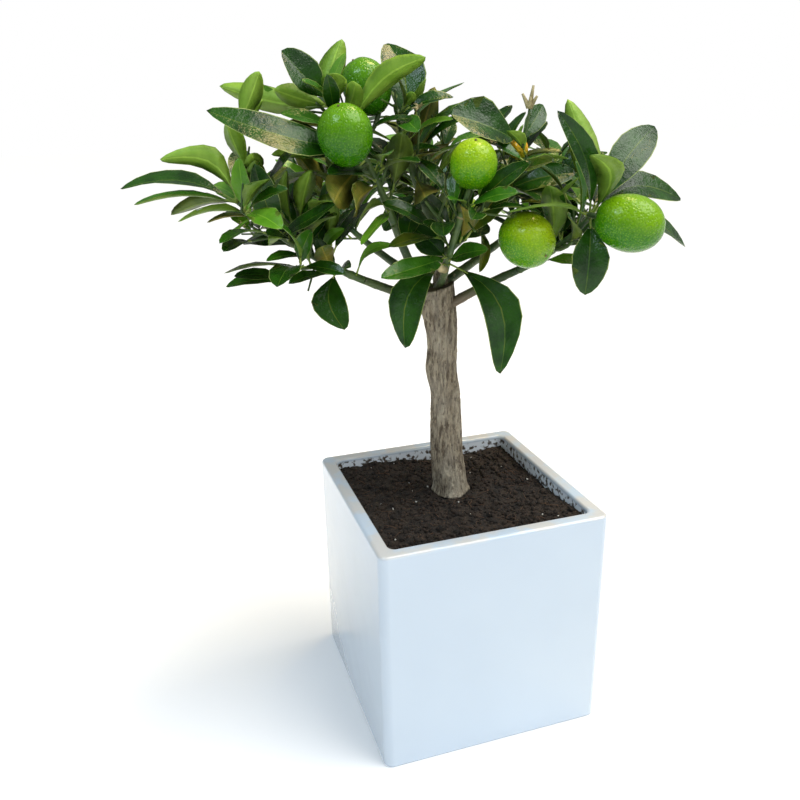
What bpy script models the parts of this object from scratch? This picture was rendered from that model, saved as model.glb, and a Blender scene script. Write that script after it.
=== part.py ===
"""Potted kumquat tree: a young fruit tree on one woody stem, in a square glazed pot of soil.

Metres, +Z up. The origin is the middle of the pot's flat underside. The pot's sides lie along
X and Y and its front face looks towards -Y. The tree is laid out as seen from its show side,
which is turned a little from the pot's front: across is to the right there, away is from the
viewer and up is Z. A bearing is measured in plan from across towards away, and a rise from
level. Lengths in the tables below are in millimetres and angles in degrees.
"""

import math
import random
from dataclasses import dataclass

import bmesh
import bpy
from mathutils import Matrix, Vector
from mathutils.bvhtree import BVHTree

MM = 0.001
SEED = 11
GAP = 0.3 * MM
SHOW_SIDE = math.radians(-17.7)
EYE_RISE = 20.5

# Pot
POT_SIDE = 150 * MM
POT_HEIGHT = 153.4 * MM
POT_WALL = 9.2 * MM
POT_FLOOR = 9 * MM
POT_CORNER = 6 * MM
POT_INNER_CORNER = 7 * MM
POT_LIP = 2.6 * MM
POT_FOOT = 1.6 * MM
CORNER_STEPS = 4
EDGE_STEPS = 3

# Soil
SOIL_LEVEL = 146 * MM
SOIL_SWELL = 1.6 * MM
SOIL_FALL = 3.5 * MM
SOIL_PATCH = 17 * MM
SOIL_RINGS = 6

# Trunk, from its flat cut at the soil to the pruned fork, then its leader
TRUNK_AWAY = 6 * MM
TRUNK_SIDES = 14
TRUNK_LOBES = 5
TRUNK_RELIEF = 0.035
TRUNK_LEVELS = (
    # height, middle across, diameter
    (146.3, -1.5, 24.6),
    (149.5, -1.8, 23.0),
    (157, -2.6, 22.6),
    (173, -4.2, 21.8),
    (188, -5.0, 21.2),
    (205, -5.2, 20.0),
    (218, -5.4, 19.4),
    (233, -8.0, 20.0),
    (250, -7.4, 19.2),
    (266, -8.4, 20.8),
    (278, -10.2, 23.0),
    (288, -11.0, 23.6),
)
FORK_SLANT = math.radians(14)
LEADER_FOOT = (-6.5, 7.0, 272)
LEADER_TIP = (-10.5, 10.0, 326)
LEADER_THICK = (10.4, 7.2)
LEADER_SIDES = 9

# Leaves
LEAF_LENGTH = (34, 56)
LEAF_SLIM = 0.37
LEAF_THICK = 0.9 * MM
PETIOLE_SHARE = 0.13
PETIOLE_THICK = 1.7 * MM
LEAF_STATIONS = ((0.0, 0.12), (0.38, 1.0), (0.76, 0.76))
SHOW_STATIONS = ((0.0, 0.10), (0.26, 0.82), (0.56, 1.0), (0.84, 0.62))
LEAF_FOLD = math.radians(16)
LEAF_ARCH = 0.09
LEAF_SPACING = 7.5 * MM
LEAF_LEAN = (74, 38)  # from its shoot, near the shoot's foot and at its tip
LEAF_LEAN_SPREAD = 9
LEAF_ROLL_SPREAD = 0.4
LEAF_HANG = 0.12
SPACE_RAISE = 10 * MM
DROOP = 6 * MM
CROWN_LOWEST = 232 * MM

# Growth
GOLDEN_TURN = math.radians(137.5)
TWIG_THICK = (2.3, 1.6)
TWIG_LENGTH = (22, 34)
TWIG_STRETCH = (0.22, 0.88)  # the stretch of the stem that bears twigs
TWIG_BARE = 0.3
TWIG_TURNS_UP = 65
TWIG_SIDES = 3
STEM_SIDES = 5
BOUGH_SIDES = 7
CLEARANCE = 0.5 * MM
# A leaf or twig that finds no room is turned by each of these pairs of angles in its turn
NUDGES = tuple((nudge, twist) for twist in (0, 25, -25) for nudge in (0, 7, -7, 14, -14, 22, -22))

# Fruit
FRUIT_SIDES = 8
FRUIT_RINGS = 5
PEDICEL_THICK = (2.0, 2.6)
PEDICEL_BEND = 2 * MM
PEDICEL_SUNK = 0.46  # share of the fruit's length from its middle to the stalk's end


@dataclass
class Branch:
    """A bough from the trunk or its leader, and the stem of the foliage mass beyond its tip."""

    name: str
    root: float  # height at which the bough leaves the middle of the trunk or leader
    bearing: tuple  # at the root, at the bough's tip and at the stem's tip
    rise: tuple  # at the same three places
    length: tuple  # of the bough and of the stem
    thick: tuple  # at the same three places
    space: tuple  # half sizes of the mass's own space: across, away and up
    twigs: int
    bare: float = 0.3  # share of the stem below its first leaves of the rule, 1 for none


BRANCHES = (
    Branch("left", 277, (202, 199, 190), (19, 25, 45), (52, 86), (6.6, 4.8, 2.4), (74, 62, 52), 4),
    Branch("left_upper", 270, (203, 208, 165), (56, 70, 56), (66, 78), (6.4, 4.8, 2.4), (62, 48, 50), 5),
    Branch("top", 322, (208, 204, 140), (60, 68, 78), (20, 54), (6.8, 5.6, 2.4), (48, 46, 46), 5),
    Branch("front", 286, (292, 286, 300), (34, 60, 60), (24, 44), (5.2, 4.2, 2.8), (56, 50, 44), 3, 1),
    Branch("right", 272, (-20, -24, -26), (34, 26, 52), (58, 53), (6.6, 4.6, 2.4), (62, 60, 50), 4),
    Branch("right_upper", 305, (-5, -12, 15), (40, 46, 72), (22, 63), (6.0, 5.0, 2.4), (56, 50, 48), 5),
    Branch("back_left", 284, (136, 140, 146), (20, 26, 52), (60, 62), (6.4, 4.4, 2.4), (66, 66, 46), 5),
    Branch("back", 279, (86, 88, 94), (30, 22, 48), (56, 60), (6.4, 4.4, 2.4), (62, 62, 44), 5),
    Branch("back_right", 288, (34, 36, 30), (24, 24, 50), (58, 60), (6.2, 4.4, 2.4), (66, 66, 46), 5),
    Branch("back_upper", 312, (104, 100, 96), (44, 46, 58), (20, 50), (5.0, 4.2, 2.2), (56, 52, 40), 5),
)


@dataclass
class ShowShoot:
    """A mass's stem, or a twig on it, with the leaves there that give the show side its outline.

    A twig has where along the stem it starts, its direction as seen from the show side, its
    lean towards the viewer and its length. A leaf has the same along its shoot, then its width,
    how far its upper face is turned from the viewer up towards the sky, and how far its midrib
    bows sideways, in hundredths of its length.
    """

    mass: str
    twig: tuple
    leaves: tuple


SHOW_SHOOTS = (
    ShowShoot("left", (), (
        (1.0, 145, 15, 47, 21, 140, 24),
        (1.0, 171, -5, 68, 20, 50, -8),
        (1.0, -180, 20, 56, 17, 65, -5),
        (1.0, -170, -25, 49, 14, 110, 0),
        (0.87, -130, 15, 24, 14, 60, -8),
        (1.0, 92, -50, 42, 17, 20, 0),
        (0.65, 102, 25, 47, 17, 10, 4),
        (0.66, 29, 30, 48, 15, 40, -14),
        (0.63, 150, 50, 23, 12, 130, 0),
        (0.2, -83, 35, 39, 21, 0, -19),
        (0.31, 56, 25, 28, 11, 30, 14),
        (0.35, 94, -30, 28, 15, 20, 0),
        (0.06, 43, 30, 37, 9, 30, 16),
    )),
    ShowShoot("left", (0.81, 101, -5, 52), (
        (0.53, 107, 20, 30, 16, 150, -8),
        (0.32, 82, 40, 30, 15, 140, 8),
        (1.0, 64, 0, 32, 16, 150, 4),
        (1.0, 49, -20, 25, 8, 150, 0),
    )),
    ShowShoot("left_upper", (), (
        (0.61, 161, 30, 87, 26, 30, 17),
        (0.95, 170, -15, 71, 20, 140, -8),
        (0.95, 163, 30, 36, 17, 140, -5),
        (0.99, 132, 20, 38, 23, 25, 10),
        (0.96, 82, -20, 42, 19, 170, -9),
        (0.95, 83, 45, 27, 18, 170, 0),
        (0.83, 66, 50, 33, 15, 170, 0),
        (0.76, 40, 30, 64, 18, 150, -10),
        (0.52, -132, 60, 58, 22, 120, 0),
        (0.32, -142, 75, 50, 20, 110, 0),
        (0.55, 177, 25, 54, 15, 130, 0),
        (0.16, -159, 45, 38, 15, 90, 6),
        (0.11, -137, 60, 42, 13, 40, 10),
    )),
    ShowShoot("top", (), (
        (0.77, 98, -15, 57, 27, 5, -11),
        (0.38, 72, -20, 50, 17, 175, 0),
        (0.95, 53, 55, 29, 8, 150, 0),
        (0.3, -58, 80, 54, 17, 160, 0),
        (0.64, 29, 25, 34, 15, 60, 10),
        (0.06, -116, 35, 32, 16, 30, 0),
        (0.12, -134, 15, 32, 16, 20, 0),
    )),
    ShowShoot("front", (), (
        (0.06, -121, 30, 59, 22, 0, -20),
        (0.06, -64, 25, 74, 24, 0, 22),
        (0.17, -173, 45, 57, 18, 30, 8),
        (0.07, 30, 50, 38, 13, 20, 0),
        (0.27, 129, 35, 31, 13, 60, 0),
        (0.31, 47, 10, 20, 11, 40, 0),
        (0.11, 136, 0, 29, 20, 10, 0),
        (0.44, 15, -10, 27, 18, 20, 0),
    )),
    ShowShoot("right", (), (
        (1.0, 98, -30, 72, 21, 165, 6),
        (0.98, 111, 15, 64, 16, 20, -6),
        (1.0, 104, 35, 50, 18, 160, 22),
        (1.0, 47, -30, 76, 22, 5, 3),
        (1.0, 1, -35, 77, 22, 20, 14),
        (1.0, -94, 25, 44, 23, 0, 0),
        (1.0, -22, -35, 96, 19, 30, 4),
        (0.99, 173, 25, 55, 14, 80, 10),
        (0.59, 129, -30, 35, 14, 60, 0),
    )),
    ShowShoot("right_upper", (), (
        (0.93, 24, 50, 40, 17, 20, -4),
        (0.54, 37, 55, 53, 17, 50, -8),
        (0.45, 16, 10, 49, 22, 30, 0),
        (0.98, 155, 25, 50, 32, 25, 6),
        (0.15, -89, 50, 38, 9, 40, 6),
        (0.74, 171, 5, 33, 16, 40, 0),
        (0.92, 32, -5, 32, 12, 30, 0),
    )),
)


@dataclass
class Fruit:
    """A fruit on a mass's stem: its middle, and the way that its far end points."""

    mass: str
    at: float
    middle: tuple
    points: tuple
    length: float
    width: float


FRUITS = (
    Fruit("left_upper", 0.48, (-61, -43, 381), (-0.15, -0.35, 0.9), 37, 33),
    Fruit("left_upper", 0.65, (-50, -4, 405), (-0.45, -0.1, 0.9), 36, 30),
    Fruit("front", 1.0, (8, -34, 364), (0.05, -0.3, 1.0), 31, 29),
    Fruit("right_upper", 0.25, (38, -36, 323), (0.5, -0.65, -0.4), 38, 34),
    Fruit("right", 1.0, (93, -44, 332), (0.95, -0.15, -0.22), 43, 35),
    Fruit("right_upper", 0.98, (38, 6, 369), (0.1, -0.5, 0.8), 14, 13),
    Fruit("back_left", 0.7, (-82, 98, 330), (-0.3, 0.8, -0.5), 37, 32),
    Fruit("back", 0.5, (14, 104, 318), (0.3, 0.8, -0.5), 35, 30),
    Fruit("back_right", 0.8, (86, 88, 340), (0.5, 0.6, -0.4), 39, 33),
)


def heading(bearing, rise):
    """Unit vector of a plan bearing and a rise, in degrees."""
    turn, lift = math.radians(bearing), math.radians(rise)
    level = math.cos(lift)
    return Vector((math.cos(turn) * level, math.sin(turn) * level, math.sin(lift)))


def place(across, away, up):
    """A point of the tree from its millimetres."""
    return Vector((across, away, up)) * MM


def mix(first, last, share):
    return first + (last - first) * share


def loft(rings):
    """Points and faces of the closed body through these rings, where a tip is a ring of one point."""
    points = [point for ring in rings for point in ring]
    faces = []
    low = 0
    for ring, after in zip(rings, rings[1:]):
        high = low + len(ring)
        count = max(len(ring), len(after))
        for i in range(count):
            j = (i + 1) % count
            if len(ring) == 1:
                faces.append((low, high + j, high + i))
            elif len(after) == 1:
                faces.append((low + i, low + j, high))
            else:
                faces.append((low + i, low + j, high + j, high + i))
        low = high
    if len(rings[0]) > 1:
        faces.append(tuple(reversed(range(len(rings[0])))))
    if len(rings[-1]) > 1:
        faces.append(tuple(range(low, low + len(rings[-1]))))
    return points, faces


def rounded_square(half, corner, up):
    """A square with round corners, anticlockwise seen from above."""
    ring = []
    for quarter in range(4):
        for step in range(CORNER_STEPS + 1):
            turn = math.radians(90) * (quarter + step / CORNER_STEPS)
            sign_x = 1 if quarter in (0, 3) else -1
            sign_y = 1 if quarter in (0, 1) else -1
            x = sign_x * (half - corner) + corner * math.cos(turn)
            y = sign_y * (half - corner) + corner * math.sin(turn)
            ring.append(Vector((x, y, up)))
    return ring


def pot_body():
    """Up the outside from the flat underside, over the lip and down the inside to the floor."""
    half = POT_SIDE / 2
    inner = half - POT_WALL
    rings = []
    for step in range(EDGE_STEPS + 1):
        turn = math.radians(90) * step / EDGE_STEPS
        inset = POT_FOOT * (1 - math.sin(turn))
        up = POT_FOOT * (1 - math.cos(turn))
        rings.append(rounded_square(half - inset, POT_CORNER - inset, up))
    for step in range(EDGE_STEPS + 1):
        turn = math.radians(90) * step / EDGE_STEPS
        inset = POT_LIP * (1 - math.cos(turn))
        up = POT_HEIGHT - POT_LIP * (1 - math.sin(turn))
        rings.append(rounded_square(half - inset, POT_CORNER - inset, up))
    for step in range(EDGE_STEPS + 1):
        turn = math.radians(90) * step / EDGE_STEPS
        inset = POT_LIP * (1 - math.sin(turn))
        up = POT_HEIGHT - POT_LIP * (1 - math.cos(turn))
        rings.append(rounded_square(inner + inset, POT_INNER_CORNER + inset, up))
    rings.append(rounded_square(inner, POT_INNER_CORNER, POT_FLOOR))
    return loft(rings)


def soil_height(across, away):
    """The soil's surface: low humps, and a fall towards the right and the back."""
    half = POT_SIDE / 2
    hump = math.sin(across / half * 4.1 + 0.6) * math.cos(away / half * 3.3 - 0.4)
    fall = max(0.0, (across + away) / (2 * half))
    return SOIL_LEVEL + SOIL_SWELL * hump - SOIL_FALL * fall


def soil_body():
    """The soil fills the pot, clear of its walls, with a level patch under the trunk."""
    half = POT_SIDE / 2 - POT_WALL - GAP
    edge = rounded_square(half, POT_INNER_CORNER - GAP, 0)
    patch = place(TRUNK_LEVELS[0][1], TRUNK_AWAY / MM, 0)
    rings = [[Vector((p.x, p.y, POT_FLOOR + GAP)) for p in edge]]
    for ring in range(SOIL_RINGS):
        share = ring / (SOIL_RINGS - 1)
        row = []
        for point in edge:
            inner = patch + (point - patch).normalized() * SOIL_PATCH
            spot = point.lerp(inner, share)
            up = mix(soil_height(spot.x, spot.y), SOIL_LEVEL, share**2)
            row.append(Vector((spot.x, spot.y, up)))
        rings.append(row)
    return loft(rings)


def trunk_radius(turn, share, diameter):
    """A woody section: a few broad lobes that wander round as they climb."""
    lobes = math.sin(3 * turn + 4.0 * share) + 0.6 * math.sin(TRUNK_LOBES * turn - 5.0 * share)
    return diameter / 2 * (1 + TRUNK_RELIEF * lobes)


def trunk_body(spare=0.0):
    """The trunk to its pruned top, which is one flat cut slanting down to the left."""
    rings = []
    for level, (up, across, diameter) in enumerate(TRUNK_LEVELS):
        share = level / (len(TRUNK_LEVELS) - 1)
        middle = place(across, TRUNK_AWAY / MM, up)
        slant = math.tan(FORK_SLANT) if level == len(TRUNK_LEVELS) - 1 else 0
        ring = []
        for side in range(TRUNK_SIDES):
            turn = 2 * math.pi * side / TRUNK_SIDES
            radius = trunk_radius(turn, share, diameter * MM) + spare
            x, y = radius * math.cos(turn), radius * math.sin(turn)
            ring.append(middle + Vector((x, y, slant * x + (spare if slant else 0))))
        rings.append(ring)
    return loft(rings)


def trunk_middle(up):
    """The middle of the trunk, or of its leader above the fork, at a height in millimetres."""
    foot, tip = place(*LEADER_FOOT), place(*LEADER_TIP)
    if up >= TRUNK_LEVELS[-1][0]:
        return foot.lerp(tip, (up - LEADER_FOOT[2]) / (LEADER_TIP[2] - LEADER_FOOT[2]))
    for below, above in zip(TRUNK_LEVELS, TRUNK_LEVELS[1:]):
        if up <= above[0]:
            share = (up - below[0]) / (above[0] - below[0])
            return place(mix(below[1], above[1], share), TRUNK_AWAY / MM, up)


def limb_path(start, bearings, rises, length, steps):
    """Points along a limb whose bearing and rise change evenly from its root to its tip."""
    path = [start.copy()]
    for step in range(steps):
        share = (step + 0.5) / steps
        way = heading(mix(*bearings, share), mix(*rises, share))
        path.append(path[-1] + way * (length * MM / steps))
    return path


def tube(path, thick, sides, spare=0.0):
    """A tapering round limb along a path, flat at both ends. thick is in millimetres."""
    way = (path[1] - path[0]).normalized()
    first = way.orthogonal().normalized()
    rings = []
    for i, point in enumerate(path):
        before, after = path[max(i - 1, 0)], path[min(i + 1, len(path) - 1)]
        way = (after - before).normalized()
        first = (first - way * first.dot(way)).normalized()
        second = way.cross(first)
        radius = mix(*thick, i / (len(path) - 1)) * MM / 2 + spare
        turns = [2 * math.pi * side / sides for side in range(sides)]
        rings.append([point + (first * math.cos(t) + second * math.sin(t)) * radius for t in turns])
    return loft(rings)


def leaf_body(base, way, face, length, width, bow=0.0, stations=LEAF_STATIONS, spare=0.0):
    """A leaf on its stalk, folded a little along its midrib and arched over its upper face.

    way is from the stalk's root to the tip, and face is square to the upper face. bow is how
    far the midrib swings sideways, as a share of the length.
    """
    face = (face - way * face.dot(way)).normalized()
    side = face.cross(way)
    swing = face * LEAF_ARCH + side * bow
    thick = LEAF_THICK + 2 * spare

    def spot(share):
        return base + (way * share + swing * math.sin(math.pi * share)) * length

    stalk = PETIOLE_THICK / 2 + spare
    rings = [[base + offset * stalk for offset in (side, face, -side, -face)]]
    for along, wide in stations:
        middle = spot(mix(PETIOLE_SHARE, 1.0, along))
        half = width * wide / 2 + spare
        reach = side * (half * math.cos(LEAF_FOLD))
        lift = face * (half * math.sin(LEAF_FOLD))
        up = face * (thick / 2)
        rings.append([middle + reach + lift, middle + up, middle - reach + lift, middle - up])
    rings.append([spot(1.0) + way * spare])
    return loft(rings)


def fruit_body(middle, points, length, width, spare=0.0):
    """An egg-shaped fruit, a little fuller towards the end that it points with."""
    side = points.orthogonal().normalized()
    other = points.cross(side)
    half_length, half_width = length / 2 + spare, width / 2 + spare
    rings = [[middle - points * half_length]]
    for ring in range(1, FRUIT_RINGS + 1):
        turn = math.pi * ring / (FRUIT_RINGS + 1)
        centre = middle - points * (half_length * math.cos(turn))
        radius = half_width * math.sin(turn)
        turns = [2 * math.pi * step / FRUIT_SIDES for step in range(FRUIT_SIDES)]
        rings.append([centre + (side * math.cos(t) + other * math.sin(t)) * radius for t in turns])
    rings.append([middle + points * half_length])
    return loft(rings)


def along(path, share):
    """The point and the direction at a share of a path's length."""
    place_in = min(max(share, 0.0), 1.0) * (len(path) - 1)
    i = min(int(place_in), len(path) - 2)
    return path[i].lerp(path[i + 1], place_in - i), (path[i + 1] - path[i]).normalized()


def show_way(bearing, towards):
    """A direction as the show side sees it: its angle in that view, and its lean to the viewer."""
    turn, lean = math.radians(bearing), math.radians(towards)
    return Vector((math.cos(turn) * math.cos(lean), -math.sin(lean), math.sin(turn) * math.cos(lean)))


def show_face(way, turned):
    """The way an upper face looks, turned from the viewer up towards the sky by an angle."""
    eye = Vector((0, -math.cos(math.radians(EYE_RISE)), math.sin(math.radians(EYE_RISE))))
    front = (eye - way * eye.dot(way)).normalized()
    side = way.cross(front)
    if side.z < 0:
        side = -side
    return front * math.cos(math.radians(turned)) + side * math.sin(math.radians(turned))


class Crown:
    """What stands in the crown already, and the bodies that each mass will be joined from."""

    def __init__(self):
        self.taken = []
        self.masses = {branch.name: [] for branch in BRANCHES}

    def occupy(self, owner, shoot, body):
        self.taken.append((owner, shoot, BVHTree.FromPolygons(*body)))

    def blocked(self, owner, shoot, whole, blade):
        """Whether a leaf or twig touches another piece, or its blade touches its own mass."""
        whole_tree = BVHTree.FromPolygons(*whole)
        blade_tree = BVHTree.FromPolygons(*blade)
        for other, other_shoot, tree in self.taken:
            if other != owner and whole_tree.overlap(tree):
                return True
            if other == owner and other_shoot != shoot and blade_tree.overlap(tree):
                return True
        return False

    def add_leaf(self, owner, shoot, base, way, face, length, width, bow=0.0, stations=LEAF_STATIONS):
        """Adds the leaf unless it touches something, and says whether it did."""
        whole = leaf_body(base, way, face, length, width, bow, stations, CLEARANCE)
        start = base + way * (length * PETIOLE_SHARE)
        blade = leaf_body(start, way, face, length * (1 - PETIOLE_SHARE), width, bow, stations, CLEARANCE)
        if self.blocked(owner, shoot, whole, blade):
            return False
        body = leaf_body(base, way, face, length, width, bow, stations)
        self.masses[owner].append(body)
        self.occupy(owner, "leaf", body)
        return True

    def add_fruit(self, fruit, path):
        """A fruit, and its stalk from the stem to its near end."""
        middle, points = place(*fruit.middle), Vector(fruit.points).normalized()
        root, _ = along(path, fruit.at)
        near = middle - points * (fruit.length * MM * PEDICEL_SUNK)
        bend = root.lerp(near, 0.6) - points * PEDICEL_BEND
        stalk = tube([root, bend, near], PEDICEL_THICK, TWIG_SIDES)
        body = fruit_body(middle, points, fruit.length * MM, fruit.width * MM)
        self.masses[fruit.mass] += [stalk, body]
        self.occupy(fruit.mass, "fruit", body)
        self.occupy(fruit.mass, "stem", stalk)


def grow_limbs(crown):
    """The boughs' paths and the stems' paths that follow them, a gap beyond each tip."""
    crown.occupy("trunk", "trunk", trunk_body())
    crown.occupy("trunk", "trunk", leader_body())
    boughs, stems = {}, {}
    for branch in BRANCHES:
        root = trunk_middle(branch.root)
        bough = limb_path(root, branch.bearing[:2], branch.rise[:2], branch.length[0], 6)
        way = heading(branch.bearing[1], branch.rise[1])
        foot = bough[-1] + way * GAP
        stem = limb_path(foot, branch.bearing[1:], branch.rise[1:], branch.length[1], 8)
        boughs[branch.name], stems[branch.name] = bough, stem
        crown.occupy("bough " + branch.name, "bough", tube(bough, branch.thick[:2], BOUGH_SIDES))
        body = tube(stem, branch.thick[1:], STEM_SIDES)
        crown.masses[branch.name].append(body)
        crown.occupy(branch.name, "stem", body)
    return boughs, stems


def inside(point, middle, space):
    """Whether a point lies in the ellipsoid of a mass's space, above the crown's foot."""
    spread = sum(((point[i] - middle[i]) / (space[i] * MM)) ** 2 for i in range(3))
    return spread < 1 and point.z > CROWN_LOWEST


def rule_leaf(crown, branch, shoot, path, share, turn, middle, rng):
    """One leaf of the rule, where it finds room: it leans out from its shoot and droops."""
    base, way_on = along(path, share)
    across = way_on.orthogonal().normalized()
    length = rng.uniform(*LEAF_LENGTH) * MM * mix(1.0, 0.86, share)
    spread = rng.uniform(-LEAF_LEAN_SPREAD, LEAF_LEAN_SPREAD)
    lean = math.radians(mix(*LEAF_LEAN, share) + spread)
    roll = rng.uniform(-LEAF_ROLL_SPREAD, LEAF_ROLL_SPREAD)
    for nudge, twist in NUDGES:
        out = Matrix.Rotation(turn + math.radians(nudge), 3, way_on) @ across
        way = way_on * math.cos(lean) + out * math.sin(lean)
        way = (way - Vector((0, 0, LEAF_HANG))).normalized()
        tip = base + way * length
        if tip.z < base.z - DROOP or not inside(tip, middle, branch.space):
            continue
        up = Vector((0, 0, 1)) + way_on * 0.35
        square = (up - way * up.dot(way)).normalized()
        face = Matrix.Rotation(roll + math.radians(twist), 3, way) @ square
        if crown.add_leaf(branch.name, shoot, base, way, face, length, length * LEAF_SLIM):
            return


def grow_twigs(crown, branch, stem, middle, rng):
    """Side twigs at even turns round the stem, which rise as they go. One that leaves the
    mass's space or touches something is skipped."""
    twigs = []
    for number in range(branch.twigs):
        share = mix(*TWIG_STRETCH, (number + 0.5) / branch.twigs)
        base, way_on = along(stem, share)
        turn = GOLDEN_TURN * number + rng.uniform(-0.3, 0.3)
        length = rng.uniform(*TWIG_LENGTH) * mix(1.1, 0.7, share)
        for nudge, _ in NUDGES:
            across = way_on.orthogonal().normalized()
            out = Matrix.Rotation(turn + math.radians(nudge), 3, way_on) @ across
            way = way_on * 0.75 + out
            level = math.hypot(way.x, way.y)
            bearing = math.degrees(math.atan2(way.y, way.x))
            rise = math.degrees(math.atan2(way.z, level))
            path = limb_path(base, (bearing, bearing), (rise, (rise + TWIG_TURNS_UP) / 2), length, 4)
            body = tube(path, TWIG_THICK, TWIG_SIDES)
            free = tube(path[1:], TWIG_THICK, TWIG_SIDES, CLEARANCE)
            whole = tube(path, TWIG_THICK, TWIG_SIDES, CLEARANCE)
            shoot = "twig " + str(number)
            roomy = inside(path[-1], middle, branch.space)
            if roomy and not crown.blocked(branch.name, "stem", whole, free):
                crown.masses[branch.name].append(body)
                crown.occupy(branch.name, shoot, body)
                twigs.append((shoot, path))
                break
    return twigs


def grow_mass(crown, branch, stem, rng):
    """The rule: twigs branch from the stem, and leaves spiral up all of them to their tips."""
    middle = along(stem, 0.6)[0] + Vector((0, 0, SPACE_RAISE))
    shoots = [("stem", stem)] + grow_twigs(crown, branch, stem, middle, rng)
    for shoot, path in shoots:
        bare = branch.bare if shoot == "stem" else TWIG_BARE
        length = sum((after - point).length for point, after in zip(path, path[1:]))
        count = max(3, round(length / LEAF_SPACING))
        start = rng.uniform(0, 2 * math.pi)
        if bare == 1:
            continue
        for number in range(count):
            share = mix(bare, 1.0, (number + 0.5) / count)
            rule_leaf(crown, branch, shoot, path, share, start + GOLDEN_TURN * number, middle, rng)


def grow_show_shoot(crown, show, stem, shoot):
    """A twig of the show side, if it has one, and its leaves, each turned until it finds room."""
    path = stem
    if show.twig:
        at, bearing, towards, length = show.twig
        base, _ = along(stem, at)
        way = show_way(bearing, towards)
        path = [base + way * (length * MM * step / 2) for step in range(3)]
        body = tube(path, TWIG_THICK, TWIG_SIDES)
        crown.masses[show.mass].append(body)
        crown.occupy(show.mass, shoot, body)
    else:
        shoot = "stem"
    for at, bearing, towards, length, width, turned, bow in show.leaves:
        base, _ = along(path, at)
        for nudge, twist in NUDGES:
            way = show_way(bearing, towards + nudge)
            face = show_face(way, turned + twist)
            size = (length * MM, width * MM, bow / 100, SHOW_STATIONS)
            if crown.add_leaf(show.mass, shoot, base, way, face, *size):
                break


def grow_crown():
    """All limbs, then what the show side shows, then the rule in what room is left."""
    crown = Crown()
    boughs, stems = grow_limbs(crown)
    for fruit in FRUITS:
        crown.add_fruit(fruit, stems[fruit.mass])
    for number, show in enumerate(SHOW_SHOOTS):
        grow_show_shoot(crown, show, stems[show.mass], "show " + str(number))
    for number, branch in enumerate(BRANCHES):
        grow_mass(crown, branch, stems[branch.name], random.Random(SEED + number))
    return crown, boughs


def leader_body(spare=0.0):
    """The slimmer stem that goes on up from inside the trunk's fork."""
    foot, tip = place(*LEADER_FOOT), place(*LEADER_TIP)
    path = [foot, foot.lerp(tip, 0.5), tip + (tip - foot).normalized() * spare]
    return tube(path, LEADER_THICK, LEADER_SIDES, spare)


def clear_scene():
    for found in list(bpy.data.objects):
        bpy.data.objects.remove(found, do_unlink=True)


def finish(name, colour, roughness):
    """A Principled material of one colour."""
    made = bpy.data.materials.new(name)
    made.use_nodes = True
    shader = made.node_tree.nodes["Principled BSDF"]
    shader.inputs["Base Color"].default_value = (*colour, 1)
    shader.inputs["Roughness"].default_value = roughness
    shader.inputs["Metallic"].default_value = 0
    return made


def add_object(name, body, material, turned=True, collection=None):
    """A named object from points and faces. The tree's are turned with its show side."""
    mesh = bpy.data.meshes.new(name)
    points, faces = body
    mesh.from_pydata(points, [], faces)
    if turned:
        mesh.transform(Matrix.Rotation(SHOW_SIDE, 4, "Z"))
    mesh.update()
    mesh.materials.append(material)
    made = bpy.data.objects.new(name, mesh)
    (collection or bpy.context.scene.collection).objects.link(made)
    return made


def apply_boolean(target, operation, other=None, collection=None):
    modifier = target.modifiers.new(operation, "BOOLEAN")
    modifier.operation = operation
    if collection:
        modifier.operand_type = "COLLECTION"
        modifier.collection = collection
    else:
        modifier.object = other
    bpy.context.view_layer.objects.active = target
    bpy.ops.object.modifier_apply(modifier=modifier.name)


def island_of(face, unseen):
    """The faces joined to this one by their edges, taken out of those unseen."""
    found, waiting = [], [face]
    unseen.discard(face)
    while waiting:
        face = waiting.pop()
        found.append(face)
        for edge in face.edges:
            for other in edge.link_faces:
                if other in unseen:
                    unseen.discard(other)
                    waiting.append(other)
    return found


def volume_of(faces):
    total = 0.0
    for face in faces:
        first = face.verts[0].co
        for second, third in zip(face.verts[1:], face.verts[2:]):
            total += first.dot(second.co.cross(third.co)) / 6
    return total


def keep_main_body(target):
    """Drops loose scraps, and fills sealed hollows by dropping their inner walls."""
    shape = bmesh.new()
    shape.from_mesh(target.data)
    unseen = set(shape.faces)
    islands = []
    while unseen:
        islands.append(island_of(next(iter(unseen)), unseen))
    main = max(islands, key=volume_of)
    spare = [face for island in islands if island is not main for face in island]
    bmesh.ops.delete(shape, geom=spare, context="FACES")
    shape.to_mesh(target.data)
    shape.free()


def join_bodies(name, bodies, material):
    """One object from bodies that overlap, by one union on a collection of all but the first."""
    target = add_object(name, bodies[0], material)
    others = bpy.data.collections.new(name + "_parts")
    bpy.context.scene.collection.children.link(others)
    for number, body in enumerate(bodies[1:]):
        add_object(name + "_part_" + str(number), body, material, collection=others)
    apply_boolean(target, "UNION", collection=others)
    for part in list(others.objects):
        bpy.data.objects.remove(part, do_unlink=True)
    bpy.data.collections.remove(others)
    keep_main_body(target)
    return target


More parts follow.
